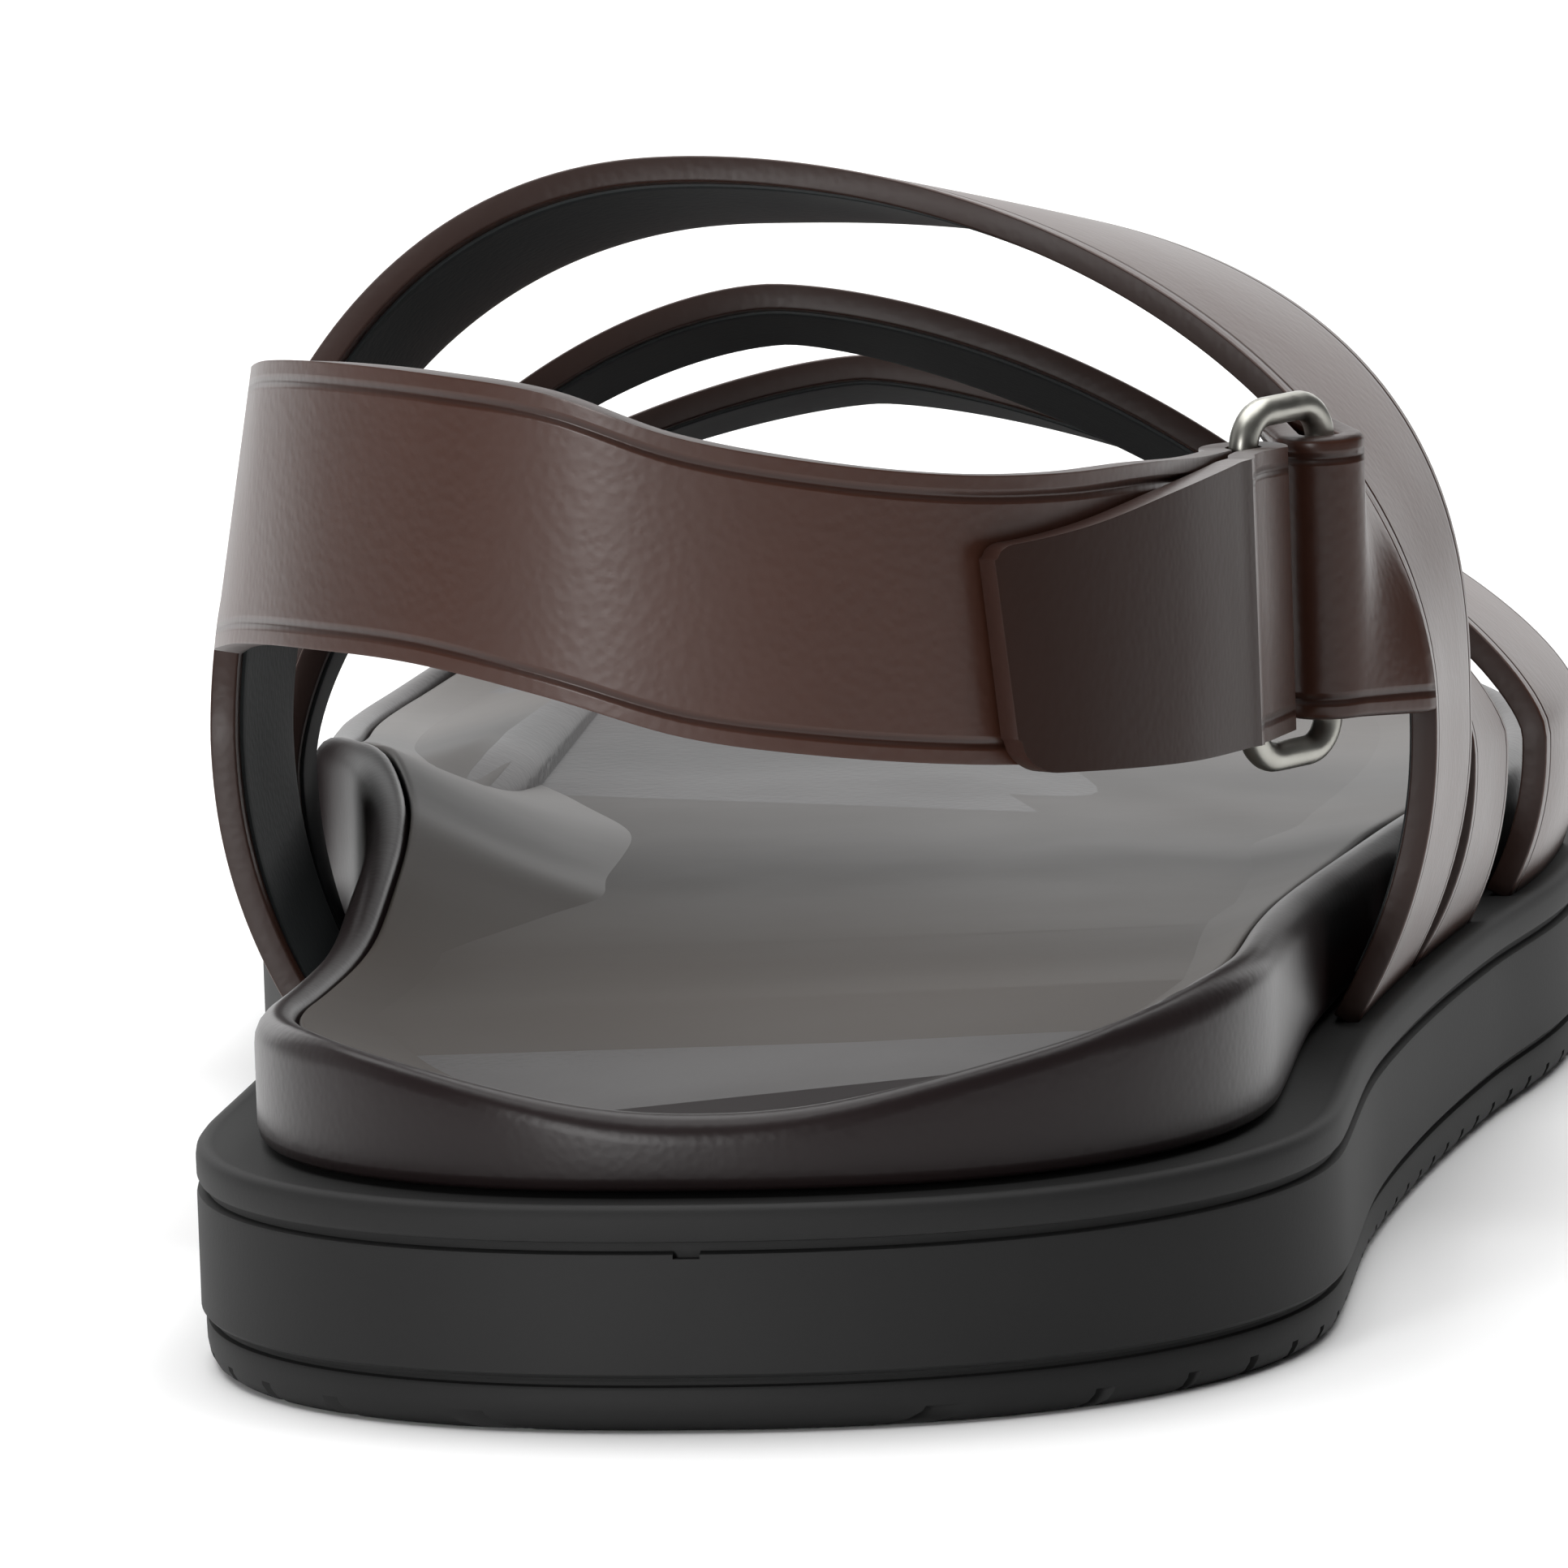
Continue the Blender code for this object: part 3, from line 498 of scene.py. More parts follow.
# A firm sheet polished with wax: at a low angle it mirrors the bright wall, except where the
# heel has rubbed it dull. The wax is a thin, slightly warm coat.
HEEL_REST = Vector((-0.118, 0.022, 0.025))
insole_leather = leather("polished_black_insole_leather", "#2b241e", "#1f1a15", roughness=0.46,
                         pebble_mm=1.1, depth_mm=0.006, dull_at=HEEL_REST)
insole_inputs = insole_leather.node_tree.nodes["Principled BSDF"].inputs
insole_inputs["Specular Tint"].default_value = to_linear("#fff3ea")
insole_inputs["Coat Weight"].default_value = 0.25
insole_inputs["Coat Roughness"].default_value = 0.42


# %% Rubber and metal
# Waves per metre again: the rubber's tone drifts over 17 mm and its skin is pitted every
# 0.45 mm, and the wire is worn in spots 1.4 mm wide.
RUBBER_TONE_SCALE = 60.0
RUBBER_SKIN_SCALE = 2200.0
WEAR_SCALE = 700.0


def moulded_rubber(name, light, dark):
    """Rubber out of a steel mould: matt, with a fine sandblasted skin."""
    material, tree, shader = new_material(name)
    coords = add_node(tree, "ShaderNodeTexCoord").outputs["Object"]
    tone = add_node(tree, "ShaderNodeTexNoise", Vector=coords, Scale=RUBBER_TONE_SCALE,
                    Detail=3.0)
    mix = add_node(tree, "ShaderNodeMix", {"data_type": "RGBA"},
                   _0=tone.outputs["Fac"], _6=to_linear(dark), _7=to_linear(light))
    skin = add_node(tree, "ShaderNodeTexNoise", Vector=coords, Scale=RUBBER_SKIN_SCALE,
                    Detail=2.0)
    bump = add_node(tree, "ShaderNodeBump", Height=skin.outputs["Fac"], Distance=0.03 * MM,
                    Strength=0.4)
    tree.links.new(mix.outputs[2], shader.inputs["Base Color"])
    tree.links.new(bump.outputs[0], shader.inputs["Normal"])
    shader.inputs["Roughness"].default_value = 0.66
    shader.inputs["Specular IOR Level"].default_value = 0.28
    shader.inputs["IOR"].default_value = 1.5
    return material


def plated_steel(name, colour):
    """Steel wire with dark nickel plating, lightly brushed by wear."""
    material, tree, shader = new_material(name)
    coords = add_node(tree, "ShaderNodeTexCoord").outputs["Object"]
    wear = add_node(tree, "ShaderNodeTexNoise", Vector=coords, Scale=WEAR_SCALE, Detail=4.0)
    gloss = add_node(tree, "ShaderNodeMapRange", Value=wear.outputs["Fac"], _3=0.22, _4=0.5)
    bump = add_node(tree, "ShaderNodeBump", Height=wear.outputs["Fac"], Distance=0.05 * MM,
                    Strength=0.3)
    tree.links.new(gloss.outputs[0], shader.inputs["Roughness"])
    tree.links.new(bump.outputs[0], shader.inputs["Normal"])
    shader.inputs["Base Color"].default_value = to_linear(colour)
    shader.inputs["Metallic"].default_value = 1.0
    return material


# Black rubber filled with soot: it swallows light, so only edges and grooves show its form.
sole_rubber = moulded_rubber("moulded_black_rubber", "#1e1e1e", "#171717")
# Nickel on steel wire: a true metal, so the small ring is the brightest thing on the shoe.
dark_nickel = plated_steel("dark_nickel_plated_steel", "#a8a7a0")
print("materials:", len(bpy.data.materials))

# %% [markdown]
# Rings that grow
#
# A sole is a stack of outlines, each a little further in or out than the one below. We start
# from a circle, move its corners onto the outline, and extrude the open edge again and again.
# Each corner carries its station number along, so it always knows its place on the outline.


# %% Growing a piece ring by ring
def start_ring(bm, place):
    """A ring of corners on the outline, each with its station number; returns its edges."""
    station = bm.verts.layers.int.new("station")
    made = bmesh.ops.create_circle(bm, segments=STATIONS, radius=1.0)["verts"]
    for corner in made:
        turn = math.atan2(corner.co.y, -corner.co.x) / (2.0 * math.pi)
        corner[station] = round(turn * STATIONS) % STATIONS
    for corner in made:
        corner.co = place(corner[station])
    return bm.edges[:]


def extrude_open(bm, edges):
    """Extrude open edges; returns the new corners and the new edges between them."""
    made = bmesh.ops.extrude_edge_only(bm, edges=edges)["geom"]
    corners = [part for part in made if isinstance(part, bmesh.types.BMVert)]
    fresh = set(corners)
    parts = [part for part in made if isinstance(part, bmesh.types.BMEdge)]
    return corners, [edge for edge in parts if fresh.issuperset(edge.verts)]


def next_ring(bm, edges, place):
    """Extrude the ring's edges and move the new corners to their places."""
    station = bm.verts.layers.int["station"]
    corners, edges = extrude_open(bm, edges)
    for corner in corners:
        corner.co = place(corner[station])
    return edges


def finish_piece(bm, name, materials, node, normals=True):
    """Turn a bmesh into a piece that stands for a solid and moves with it."""
    if normals:
        bmesh.ops.recalc_face_normals(bm, faces=bm.faces)
    bmesh.ops.translate(bm, verts=bm.verts, vec=TO_ROW)
    mesh = bpy.data.meshes.new(name)
    bm.to_mesh(mesh)
    bm.free()
    mesh.shade_smooth()
    piece = bpy.data.objects.new(name, mesh)
    bpy.context.scene.collection.objects.link(piece)
    for material in materials:
        mesh.materials.append(material)
    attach(piece, "root")
    if node:
        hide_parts(node)
    print(name, "faces:", len(mesh.polygons))
    return piece

# %% [markdown]
# The outsole
#
# The rubber sole is moulded in one shot: a wall with two thin grooves round it, a rounded
# lower edge, and a ledge on top where the straps go in. We grow the wall from the rounded
# edge up to the ledge, while the sole is still flat. The tread is cut into the flat sole:
# grooves across it, two thin channels along each side, and a small nick in the rear wall.
# Only then is the toe lifted, as a sole bends over its last.

# %% Outsole wall
# Each ring's inset and height in mm, from the floor below and from the ledge above.
SOLE_SIDE = [
    (2.60, 0.00), (1.70, 0.15), (1.00, 0.62), (0.62, 1.30), (0.45, 2.20), (0.40, 3.60),
    (0.55, 3.85), (1.00, 3.98), (1.10, 4.25), (1.00, 4.55), (0.25, 4.72), (0.02, 5.00),
]
SOLE_TOP = [
    (0.00, -4.30), (0.08, -3.95), (0.85, -3.75), (0.95, -3.40), (0.85, -3.05), (0.15, -2.90),
    (0.02, -2.55), (0.00, -1.20), (0.10, -0.55), (0.42, -0.14), (0.90, 0.00), (1.50, -0.08),
    (2.10, -0.20), (5.00, -0.22), (8.50, -0.22),
]


def side_place(inset_mm, height_mm, from_top):
    """Where a ring of the wall lies: its inset, and its height from the floor or the ledge."""
    def place(station):
        spot = outline(station, inset_mm * MM)
        base = sole_thickness(spot.x) if from_top else 0.0
        return Vector((spot.x, spot.y, base + height_mm * MM))
    return place


sole = bmesh.new()
edges = start_ring(sole, side_place(*SOLE_SIDE[0], False))
bmesh.ops.edgeloop_fill(sole, edges=edges)
for inset_mm, height_mm in SOLE_SIDE[1:]:
    edges = next_ring(sole, edges, side_place(inset_mm, height_mm, False))
for inset_mm, height_mm in SOLE_TOP:
    edges = next_ring(sole, edges, side_place(inset_mm, height_mm, True))
bmesh.ops.edgeloop_fill(sole, edges=edges)
bmesh.ops.recalc_face_normals(sole, faces=sole.faces)
print("sole wall rings:", len(SOLE_SIDE) + len(SOLE_TOP))

# %% Tread cuts
# Sizes of the tread in mm, except those marked as metres.
TREAD_PITCH = 6.95
TREAD_CUT = 1.2
TREAD_DEPTH = 1.7
TREAD_BAND = 14.8
TREAD_SEAM = 2.4
BAND_STAGGER = 2.0
SEAM_SPACE = 0.9
HEEL_CUTS = 10
HEEL_CUTS_FROM = 3.6
TOE_CUTS = 7
TOE_CUTS_FROM = 253.0
BALL_CUTS = 25
BALL_CUTS_FROM = 75.1
PAST_THE_SIDE = 0.12  # metres
BORDER_FROM = 0.0720  # metres
BORDER_LENGTH = 0.1755  # metres
BORDER_STEPS = 60
BORDER_HALF_WIDTH = 0.28
BORDER_HALF_HEIGHT = 0.75
NICK_SIZE = (1.2 * MM, 2.2 * MM, 0.8 * MM)
NICK_PLACE = (0.0003, 0.0006, 0.0149)  # metres


def edge_side(x, side, inset):
    """Y of the outline at one x, moved inwards along the outline's own normal."""
    along = x / SOLE_LENGTH
    run = sole_edge(along + 0.002, side) - sole_edge(along - 0.002, side)
    return sole_edge(along, side).y - side * inset * math.hypot(run.x, run.y) / run.x


def add_bar(bm, size, place):
    """A box among the cutters."""
    bar = bmesh.ops.create_cube(bm, size=1.0)["verts"]
    bmesh.ops.scale(bm, vec=size, verts=bar)
    bmesh.ops.translate(bm, vec=place, verts=bar)


def add_cut(bm, x, y_from, y_to):
    """A groove across the tread, half above the floor and half below."""
    size = (TREAD_CUT * MM, abs(y_to - y_from), 2 * TREAD_DEPTH * MM)
    add_bar(bm, size, (x, (y_from + y_to) / 2.0, 0.0))


def add_border(bm, side, offset):
    """A thin channel along the outline that parts the middle tread from a side band."""
    inset = TREAD_BAND * MM + offset * TREAD_SEAM * MM
    made = bmesh.ops.create_circle(bm, segments=4, radius=1.0)["verts"]
    middle = edge_side(BORDER_FROM, side, inset)
    ends = {corner: (1 if corner.co.x + corner.co.y > 0 else -1,
                     1 if corner.co.x - corner.co.y > 0 else -1) for corner in made}
    for corner, (across, up) in ends.items():
        corner.co = (BORDER_FROM, middle + BORDER_HALF_WIDTH * MM * across,
                     BORDER_HALF_HEIGHT * MM * up)
    edges = list({edge for corner in made for edge in corner.link_edges})
    bmesh.ops.edgeloop_fill(bm, edges=edges)
    length = BORDER_LENGTH / BORDER_STEPS
    for number in range(1, BORDER_STEPS + 1):
        x = BORDER_FROM + BORDER_LENGTH * number / BORDER_STEPS
        drift = edge_side(x, side, inset) - edge_side(x - length, side, inset)
        corners, edges = extrude_open(bm, edges)
        bmesh.ops.translate(bm, verts=corners, vec=(length, drift, 0.0))
    bmesh.ops.edgeloop_fill(bm, edges=edges)


cuts = bmesh.new()
for i in range(HEEL_CUTS):
    add_cut(cuts, (HEEL_CUTS_FROM + i * TREAD_PITCH) * MM, -PAST_THE_SIDE, PAST_THE_SIDE)
for i in range(TOE_CUTS):
    add_cut(cuts, (TOE_CUTS_FROM + i * TREAD_PITCH) * MM, -PAST_THE_SIDE, PAST_THE_SIDE)
for i in range(BALL_CUTS):
    x = (BALL_CUTS_FROM + i * TREAD_PITCH) * MM
    inner = edge_side(x, 1, TREAD_BAND * MM)
    outer = edge_side(x, -1, TREAD_BAND * MM)
    gap = (TREAD_SEAM / 2.0 + SEAM_SPACE) * MM
    add_cut(cuts, x, outer + gap, inner - gap)
    add_cut(cuts, x - BAND_STAGGER * MM, inner + gap, PAST_THE_SIDE)
    add_cut(cuts, x - BAND_STAGGER * MM, -PAST_THE_SIDE, outer - gap)
for side in (1, -1):
    for offset in (-0.5, 0.5):
        add_border(cuts, side, offset)
add_bar(cuts, NICK_SIZE, NICK_PLACE)
bmesh.ops.recalc_face_normals(cuts, faces=cuts.faces)
print("tread cutters:", len(cuts.faces), "faces")


# %% Cut the tread and lift the toe
SPRING_STEPS = 12
SHARP_EDGE = math.radians(38)


def plain_object(bm, name):
    """An object without material, only for the cutting."""
    mesh = bpy.data.meshes.new(name)
    bm.to_mesh(mesh)
    bm.free()
    plain = bpy.data.objects.new(name, mesh)
    bpy.context.scene.collection.objects.link(plain)
    return plain


def cut_away(piece, cutter):
    """Mesh of the piece less the cutter."""
    cut = piece.modifiers.new("cut", "BOOLEAN")
    cut.operation = "DIFFERENCE"
    cut.solver = "EXACT"
    cut.use_self = True
    cut.object = cutter
    bpy.context.view_layer.update()
    graph = bpy.context.evaluated_depsgraph_get()
    result = bpy.data.meshes.new_from_object(piece.evaluated_get(graph))
    piece.modifiers.remove(cut)
    return result


flat_sole = plain_object(sole, "flat_sole")
cutter = plain_object(cuts, "tread_cuts")
grooved = cut_away(flat_sole, cutter)
bpy.data.objects.remove(cutter)

sole = bmesh.new()
sole.from_mesh(grooved)
bpy.data.objects.remove(flat_sole)
for number in range(1, SPRING_STEPS):
    x = SOLE_LENGTH * (SPRING_START + (1.0 - SPRING_START) * number / SPRING_STEPS)
    whole = sole.verts[:] + sole.edges[:] + sole.faces[:]
    bmesh.ops.bisect_plane(sole, geom=whole, dist=1e-6, plane_co=(x, 0, 0), plane_no=(1, 0, 0))
for corner in sole.verts:
    corner.co.z += toe_lift(corner.co.x)
for edge in sole.edges:
    if len(edge.link_faces) == 2 and edge.calc_face_angle() > SHARP_EDGE:
        edge.smooth = False
finish_piece(sole, "outsole_rubber", [sole_rubber], "outsole", False)

# %% [markdown]
# Footbed and insole
#
# The footbed is a cork block wrapped in leather. Its wall stands on the ledge and rolls over
# a round rim. The insole lies inside the rim as a thin polished sheet with its own soft edge.
# Leather pulled round a block never lies quite flat, so slow noise moves the wall a little.

# %% Footbed
# Each ring's inset in mm, what its height counts from (-1 the ledge, 1 the bed) and the height.
RIM_PROFILE = [
    (0.55, -1.0, 0.05), (0.12, -1.0, 0.45), (0.00, -1.0, 1.20),
    (0.00, 1.0, -4.20), (0.00, 1.0, -2.60), (0.10, 1.0, -1.75), (0.42, 1.0, -1.00),
    (0.92, 1.0, -0.42), (1.60, 1.0, -0.08), (2.30, 1.0, 0.00), (2.90, 1.0, -0.14),
    (3.30, 1.0, -0.50), (3.50, 1.0, -1.10), (3.55, 1.0, -1.90), (6.00, 1.0, -1.95),
]
# In mm: how far the rim stands over the bed, how far in the wall reaches, and its ripples.
RIM_RISE = 0.5
WALL_REACH = 1.7
RIPPLE_DEPTH = 0.10
RIPPLE_LENGTH = 0.011  # metres
BLOCK_MIDDLE = Vector((0.149, 0.0, 0.03))


def rim_place(inset_mm, side, height_mm):
    """Where a ring of the footbed lies; the rings of the wall are rippled a little."""
    def place(station):
        spot = outline(station, LEDGE_WIDTH + inset_mm * MM)
        if side < 0:
            height = ledge_height(spot.x) + CLEARANCE
        else:
            height = bed_height(spot.x, spot.y) + RIM_RISE * MM
        where = Vector((spot.x, spot.y, height + height_mm * MM))
        ripple = noise.noise(Vector((spot.x, spot.y, height * 0.5)) / RIPPLE_LENGTH)
        pull = RIPPLE_DEPTH * MM * ripple if inset_mm < WALL_REACH else 0.0
        return where + (where - BLOCK_MIDDLE).normalized() * pull
    return place


bed = bmesh.new()
edges = start_ring(bed, rim_place(*RIM_PROFILE[0]))
bmesh.ops.edgeloop_fill(bed, edges=edges)
for row in RIM_PROFILE[1:]:
    edges = next_ring(bed, edges, rim_place(*row))
bmesh.ops.edgeloop_fill(bed, edges=edges)
finish_piece(bed, "wrapped_footbed", [wrap_leather], "footbed")

# %% Insole
INSOLE_RINGS = 90
INSOLE_INSET = LEDGE_WIDTH + RIM_WIDTH + 0.15 * MM
INSOLE_CENTRE = Vector((0.150, 0.004))
# Rings of the soft edge: share of the way out from the centre, and drop in mm.
SOCK_EDGE = [(0.998, 1.30), (1.0, 0.80), (0.9995, 0.35), (0.996, 0.10), (0.990, 0.0)]
Ridge = namedtuple("Ridge", "height_mm at slant width inner_only")
RIDGES = [
    Ridge(height_mm=0.50, at=0.108, slant=0.28, width=0.0075, inner_only=True),
    Ridge(height_mm=0.20, at=0.148, slant=0.15, width=0.010, inner_only=False),
    Ridge(height_mm=-0.30, at=0.086, slant=0.2, width=0.012, inner_only=True),
]


def soft_ridges(x, y):
    """Soft crests that a foot leaves: before the heel and at the arch, with a hollow between."""
    inner = min(1.0, max(0.0, (y + 0.018) / 0.030))
    total = 0.0
    for ridge in RIDGES:
        away = (x - ridge.at - ridge.slant * y) / ridge.width
        total += ridge.height_mm * math.exp(-away ** 2) * (inner if ridge.inner_only else 1.0)
    return total * MM


def insole_place(share, drop_mm):
    """A ring of the insole, from its edge (share 1) toward the middle (share 0)."""
    def place(station):
        edge = outline(station, INSOLE_INSET)
        spot = INSOLE_CENTRE + (edge - INSOLE_CENTRE) * share
        height = bed_height(spot.x, spot.y) + soft_ridges(spot.x, spot.y)
        return Vector((spot.x, spot.y, height - drop_mm * MM))
    return place


sock = bmesh.new()
edges = start_ring(sock, insole_place(0.97, 1.40))
bmesh.ops.edgeloop_fill(sock, edges=edges)
for share, drop_mm in SOCK_EDGE:
    edges = next_ring(sock, edges, insole_place(share, drop_mm))
for number in range(1, INSOLE_RINGS):
    share = SOCK_EDGE[-1][0] * (1.0 - number / INSOLE_RINGS)
    edges = next_ring(sock, edges, insole_place(share, 0.0))
bmesh.ops.edgeloop_fill(sock, edges=edges)
finish_piece(sock, "insole_sock", [insole_leather], "insole")

# %% [markdown]
# Straps
#
# A strap is a flat strip that is bent and then held at its ends. So each one starts as a flat
# grid: its columns run across the strip and its rows along it. Every corner is moved to its
# place between the two edges of the pattern, and a second grid a little inside becomes the
# black lining. The map of each strip keeps the distance to its nearest cut edge, so that the
# material can draw the rolled edge and the crease beside it.


# %% Patterns to strips
def spread(points, count):
    """Points at equal distances along a line of points."""
    lengths = [0.0]
    for a, b in zip(points, points[1:]):
        lengths.append(lengths[-1] + (b - a).length)
    result = []
    place = 0
    for i in range(count):
        wanted = lengths[-1] * i / (count - 1)
        while place < len(points) - 2 and lengths[place + 1] < wanted:
            place += 1
        span = max(lengths[place + 1] - lengths[place], 1e-9)
        share = min(1.0, (wanted - lengths[place]) / span)
        result.append(points[place].lerp(points[place + 1], share))
    return result


# A strap stands up from the ledge with a slight outward curve, then bends over the foot.
LEG_STEPS = 24
LEG_CURVE = 2.2
BEND_STEPS = 72
LEAN_CURVE = 1.3
FOOT_SINK = 0.1
FOOT_INSET = 0.55


def arch_half(row, side):
    """Half of a strap edge, from its foot on the ledge up to the crest."""
    leg_at = (row.inner_at if side > 0 else row.outer_at) * SOLE_LENGTH
    bulge = (row.inner_bulge if side > 0 else row.outer_bulge) * BALL_WIDTH
    crest_at = row.crest_at * SOLE_LENGTH
    widest = row.widest * INSTEP_HEIGHT
    crest = row.crest * INSTEP_HEIGHT - STRAP_THICKNESS / 2.0
    foot_y = edge_side(leg_at, side, LEDGE_WIDTH - CLEARANCE - STRAP_THICKNESS * FOOT_INSET)
    foot_z = ledge_height(leg_at) - FOOT_SINK * MM
    wide_y = foot_y + side * bulge
    crest_y = row.crest_side * BALL_WIDTH
    power = 2.0 / (row.inner_power if side > 0 else row.outer_power)
    points = []
    for i in range(LEG_STEPS):
        t = i / LEG_STEPS
        points.append(Vector((leg_at, foot_y + side * bulge * (1 - (1 - t) ** LEG_CURVE),
                              foot_z + (widest - foot_z) * t)))
    for i in range(BEND_STEPS + 1):
        turn = math.pi / 2.0 * i / BEND_STEPS
        reach = max(0.0, math.cos(turn)) ** power
        rise = math.sin(turn) ** power
        x = leg_at + (crest_at - leg_at) * rise ** LEAN_CURVE
        points.append(Vector((x, crest_y + (wide_y - crest_y) * reach,
                              widest + (crest - widest) * rise)))
    return points


def arch_lines(name, columns, rows):
    """Lines along an arch, from its rear edge to its front edge."""
    rear, front = ARCHES[name]
    lines = []
    for k in range(columns + 1):
        across = (1.0 - math.cos(math.pi * k / columns)) / 2.0
        row = EdgeRow(*(a + (b - a) * across for a, b in zip(rear, front)))
        points = arch_half(row, 1) + arch_half(row, -1)[::-1][1:]
        lines.append(spread(points, rows + 1))
    return lines


# %% Strip of leather and its lining
COLUMNS = 18
EDGE_ROUNDING = 0.00055
LINING_THICKNESS = 0.0005
LINING_ROUNDING = 0.00015
LINING_DEPTH = 1.15
LINING_INSET = 3
FOOT_MIDDLE = Vector((0.15, 0.0, 0.03))


def lay_strip(lines, end_free=False):
    """Bend a flat grid onto the lines of a strap and map each corner's distance to its edge."""
    rows = len(lines[0]) - 1
    columns = len(lines) - 1
    bm = bmesh.new()
    bmesh.ops.create_grid(bm, x_segments=columns, y_segments=rows, size=0.5)
    uv = bm.loops.layers.uv.new("strip")
    places = {}
    for corner in bm.verts:
        k = round((corner.co.x + 0.5) * columns)
        i = round((corner.co.y + 0.5) * rows)
        places[corner] = (k, i)
        corner.co = lines[k][i]
    middle = lines[columns // 2]
    runs = [0.0]
    for a, b in zip(middle, middle[1:]):
        runs.append(runs[-1] + (b - a).length)
    for face in bm.faces:
        for loop in face.loops:
            k, i = places[loop.vert]
            from_edge = min((lines[k][i] - lines[0][i]).length,
                            (lines[k][i] - lines[-1][i]).length)
            if end_free:
                from_edge = min(from_edge, runs[-1] - runs[i])
            loop[uv].uv = (runs[i], from_edge)
    bm.normal_update()
    return bm


def add_wall(piece, thickness=STRAP_THICKNESS, rounding=EDGE_ROUNDING):
    """Give a strip its thickness, with the second material on the cut edge, and round it."""
    wall = piece.modifiers.new("leather", "SOLIDIFY")
    wall.thickness = thickness
    wall.offset = 0.0
    wall.use_even_offset = True
    wall.material_offset_rim = 1
    soft = piece.modifiers.new("rolled_edge", "BEVEL")
    soft.width = rounding
    soft.segments = 3
    soft.limit_method = "ANGLE"
    soft.angle_limit = math.radians(50)


def point_outwards(bm):
    """Turn the strip's faces so that they look away from the foot."""
    total = 0.0
    for face in bm.faces:
        total += face.normal.dot(face.calc_center_median() - FOOT_MIDDLE)
    if total < 0.0:
        bmesh.ops.reverse_faces(bm, faces=bm.faces)
    bm.normal_update()


def add_lining(sheet, name):
    """A thin lining pushed inwards off the strap; its cut edge has the same leather."""
    inwards = {corner: corner.normal.copy() for corner in sheet.verts}
    for corner, normal in inwards.items():
        corner.co -= normal * LINING_DEPTH * MM
    lining = finish_piece(sheet, name, [lining_leather, lining_leather], None,
                          False)
    add_wall(lining, LINING_THICKNESS, LINING_ROUNDING)


def make_strap(lines, name, node):
    """A strap over the foot, with its lining a few columns in from the edges."""
    strip = lay_strip(lines)
    point_outwards(strip)
    piece = finish_piece(strip, name, [brown_leather, edge_leather], node, False)
    add_wall(piece)
    inner = [line[LINING_INSET:-LINING_INSET] for line in lines[LINING_INSET:-LINING_INSET]]
    sheet = lay_strip(inner)
    point_outwards(sheet)
    add_lining(sheet, name + "_lining")


# %% Vamp straps
VAMP_ROWS = 150
for name in ("rear_vamp", "front_vamp"):
    make_strap(arch_lines(name, COLUMNS, VAMP_ROWS), name + "_strap_leather", name + "_strap")

# %% Instep strap
INSTEP_ROWS = 170
make_strap(arch_lines("instep", COLUMNS, INSTEP_ROWS), "instep_strap_leather",
           "instep_and_heel_strap")

# %% [markdown]
# The heel strap and its closure
#
# The heel strap leaves the inner side of the instep strap, goes round the heel, passes through
# the ring, folds back on itself and is pressed shut. It is one long strip, so it is one grid
# as well: round the heel, half a turn about the ring's rear bar, and back along the outside.


# %% Path of the heel strap
COARSE_STEPS = 9
FINE_STEPS = 80
TURN_STEPS = 16


def band_points(row):
    """The strap's lower and upper edge at one row of its pattern."""
    x = row.along * SOLE_LENGTH
    y = row.side * BALL_WIDTH
    return (Vector((x, y, row.low * INSTEP_HEIGHT)),
            Vector((x, y - row.lean * BALL_WIDTH, row.high * INSTEP_HEIGHT)))


def smooth_pairs(pairs, steps):
    """More pairs of edge points between the given ones, along smooth curves."""
    count = len(pairs)
    slopes = []
    for i in range(count):
        a, b = max(0, i - 1), min(count - 1, i + 1)
        slopes.append([(pairs[b][j] - pairs[a][j]) / (b - a) for j in (0, 1)])
    result = []
    for i in range(count - 1):
        for number in range(steps):
            t = number / steps
            result.append([
                pairs[i][j] * (1 + 2 * t) * (1 - t) ** 2 + slopes[i][j] * t * (1 - t) ** 2
                + pairs[i + 1][j] * t * t * (3 - 2 * t) + slopes[i + 1][j] * t * t * (t - 1)
                for j in (0, 1)])
    return result + [list(pairs[-1])]


ring_low, ring_high = band_points(RING_PLACE)
rear_bar = ring_low.to_2d()
front_bar = rear_bar + Vector((math.cos(RING_TURN), math.sin(RING_TURN))) * RING_REACH


def turn_spots(centre, start, end):
    """Points of an arc round a bar of the ring, from one angle to another."""
    spots = []
    for i in range(TURN_STEPS + 1):
        angle = start + (end - start) * i / TURN_STEPS
        spots.append(centre + Vector((math.cos(angle), math.sin(angle))) * FOLD_RADIUS)
    return spots


def tangent_angle(centre, point, side):
    """The angle at which a strap from a point touches its arc round a bar."""
    to_point = point.to_2d() - centre
    return math.atan2(to_point.y, to_point.x) + side * math.acos(FOLD_RADIUS / to_point.length)


inner_run = smooth_pairs([band_points(row) for row in HEEL_STRAP_ROWS], COARSE_STEPS)
fold_start = tangent_angle(rear_bar, inner_run[-1][0], -1)
fold = [[Vector((*spot, ring_low.z)), Vector((*spot, ring_high.z))]
        for spot in turn_spots(rear_bar, fold_start, math.radians(-90))]

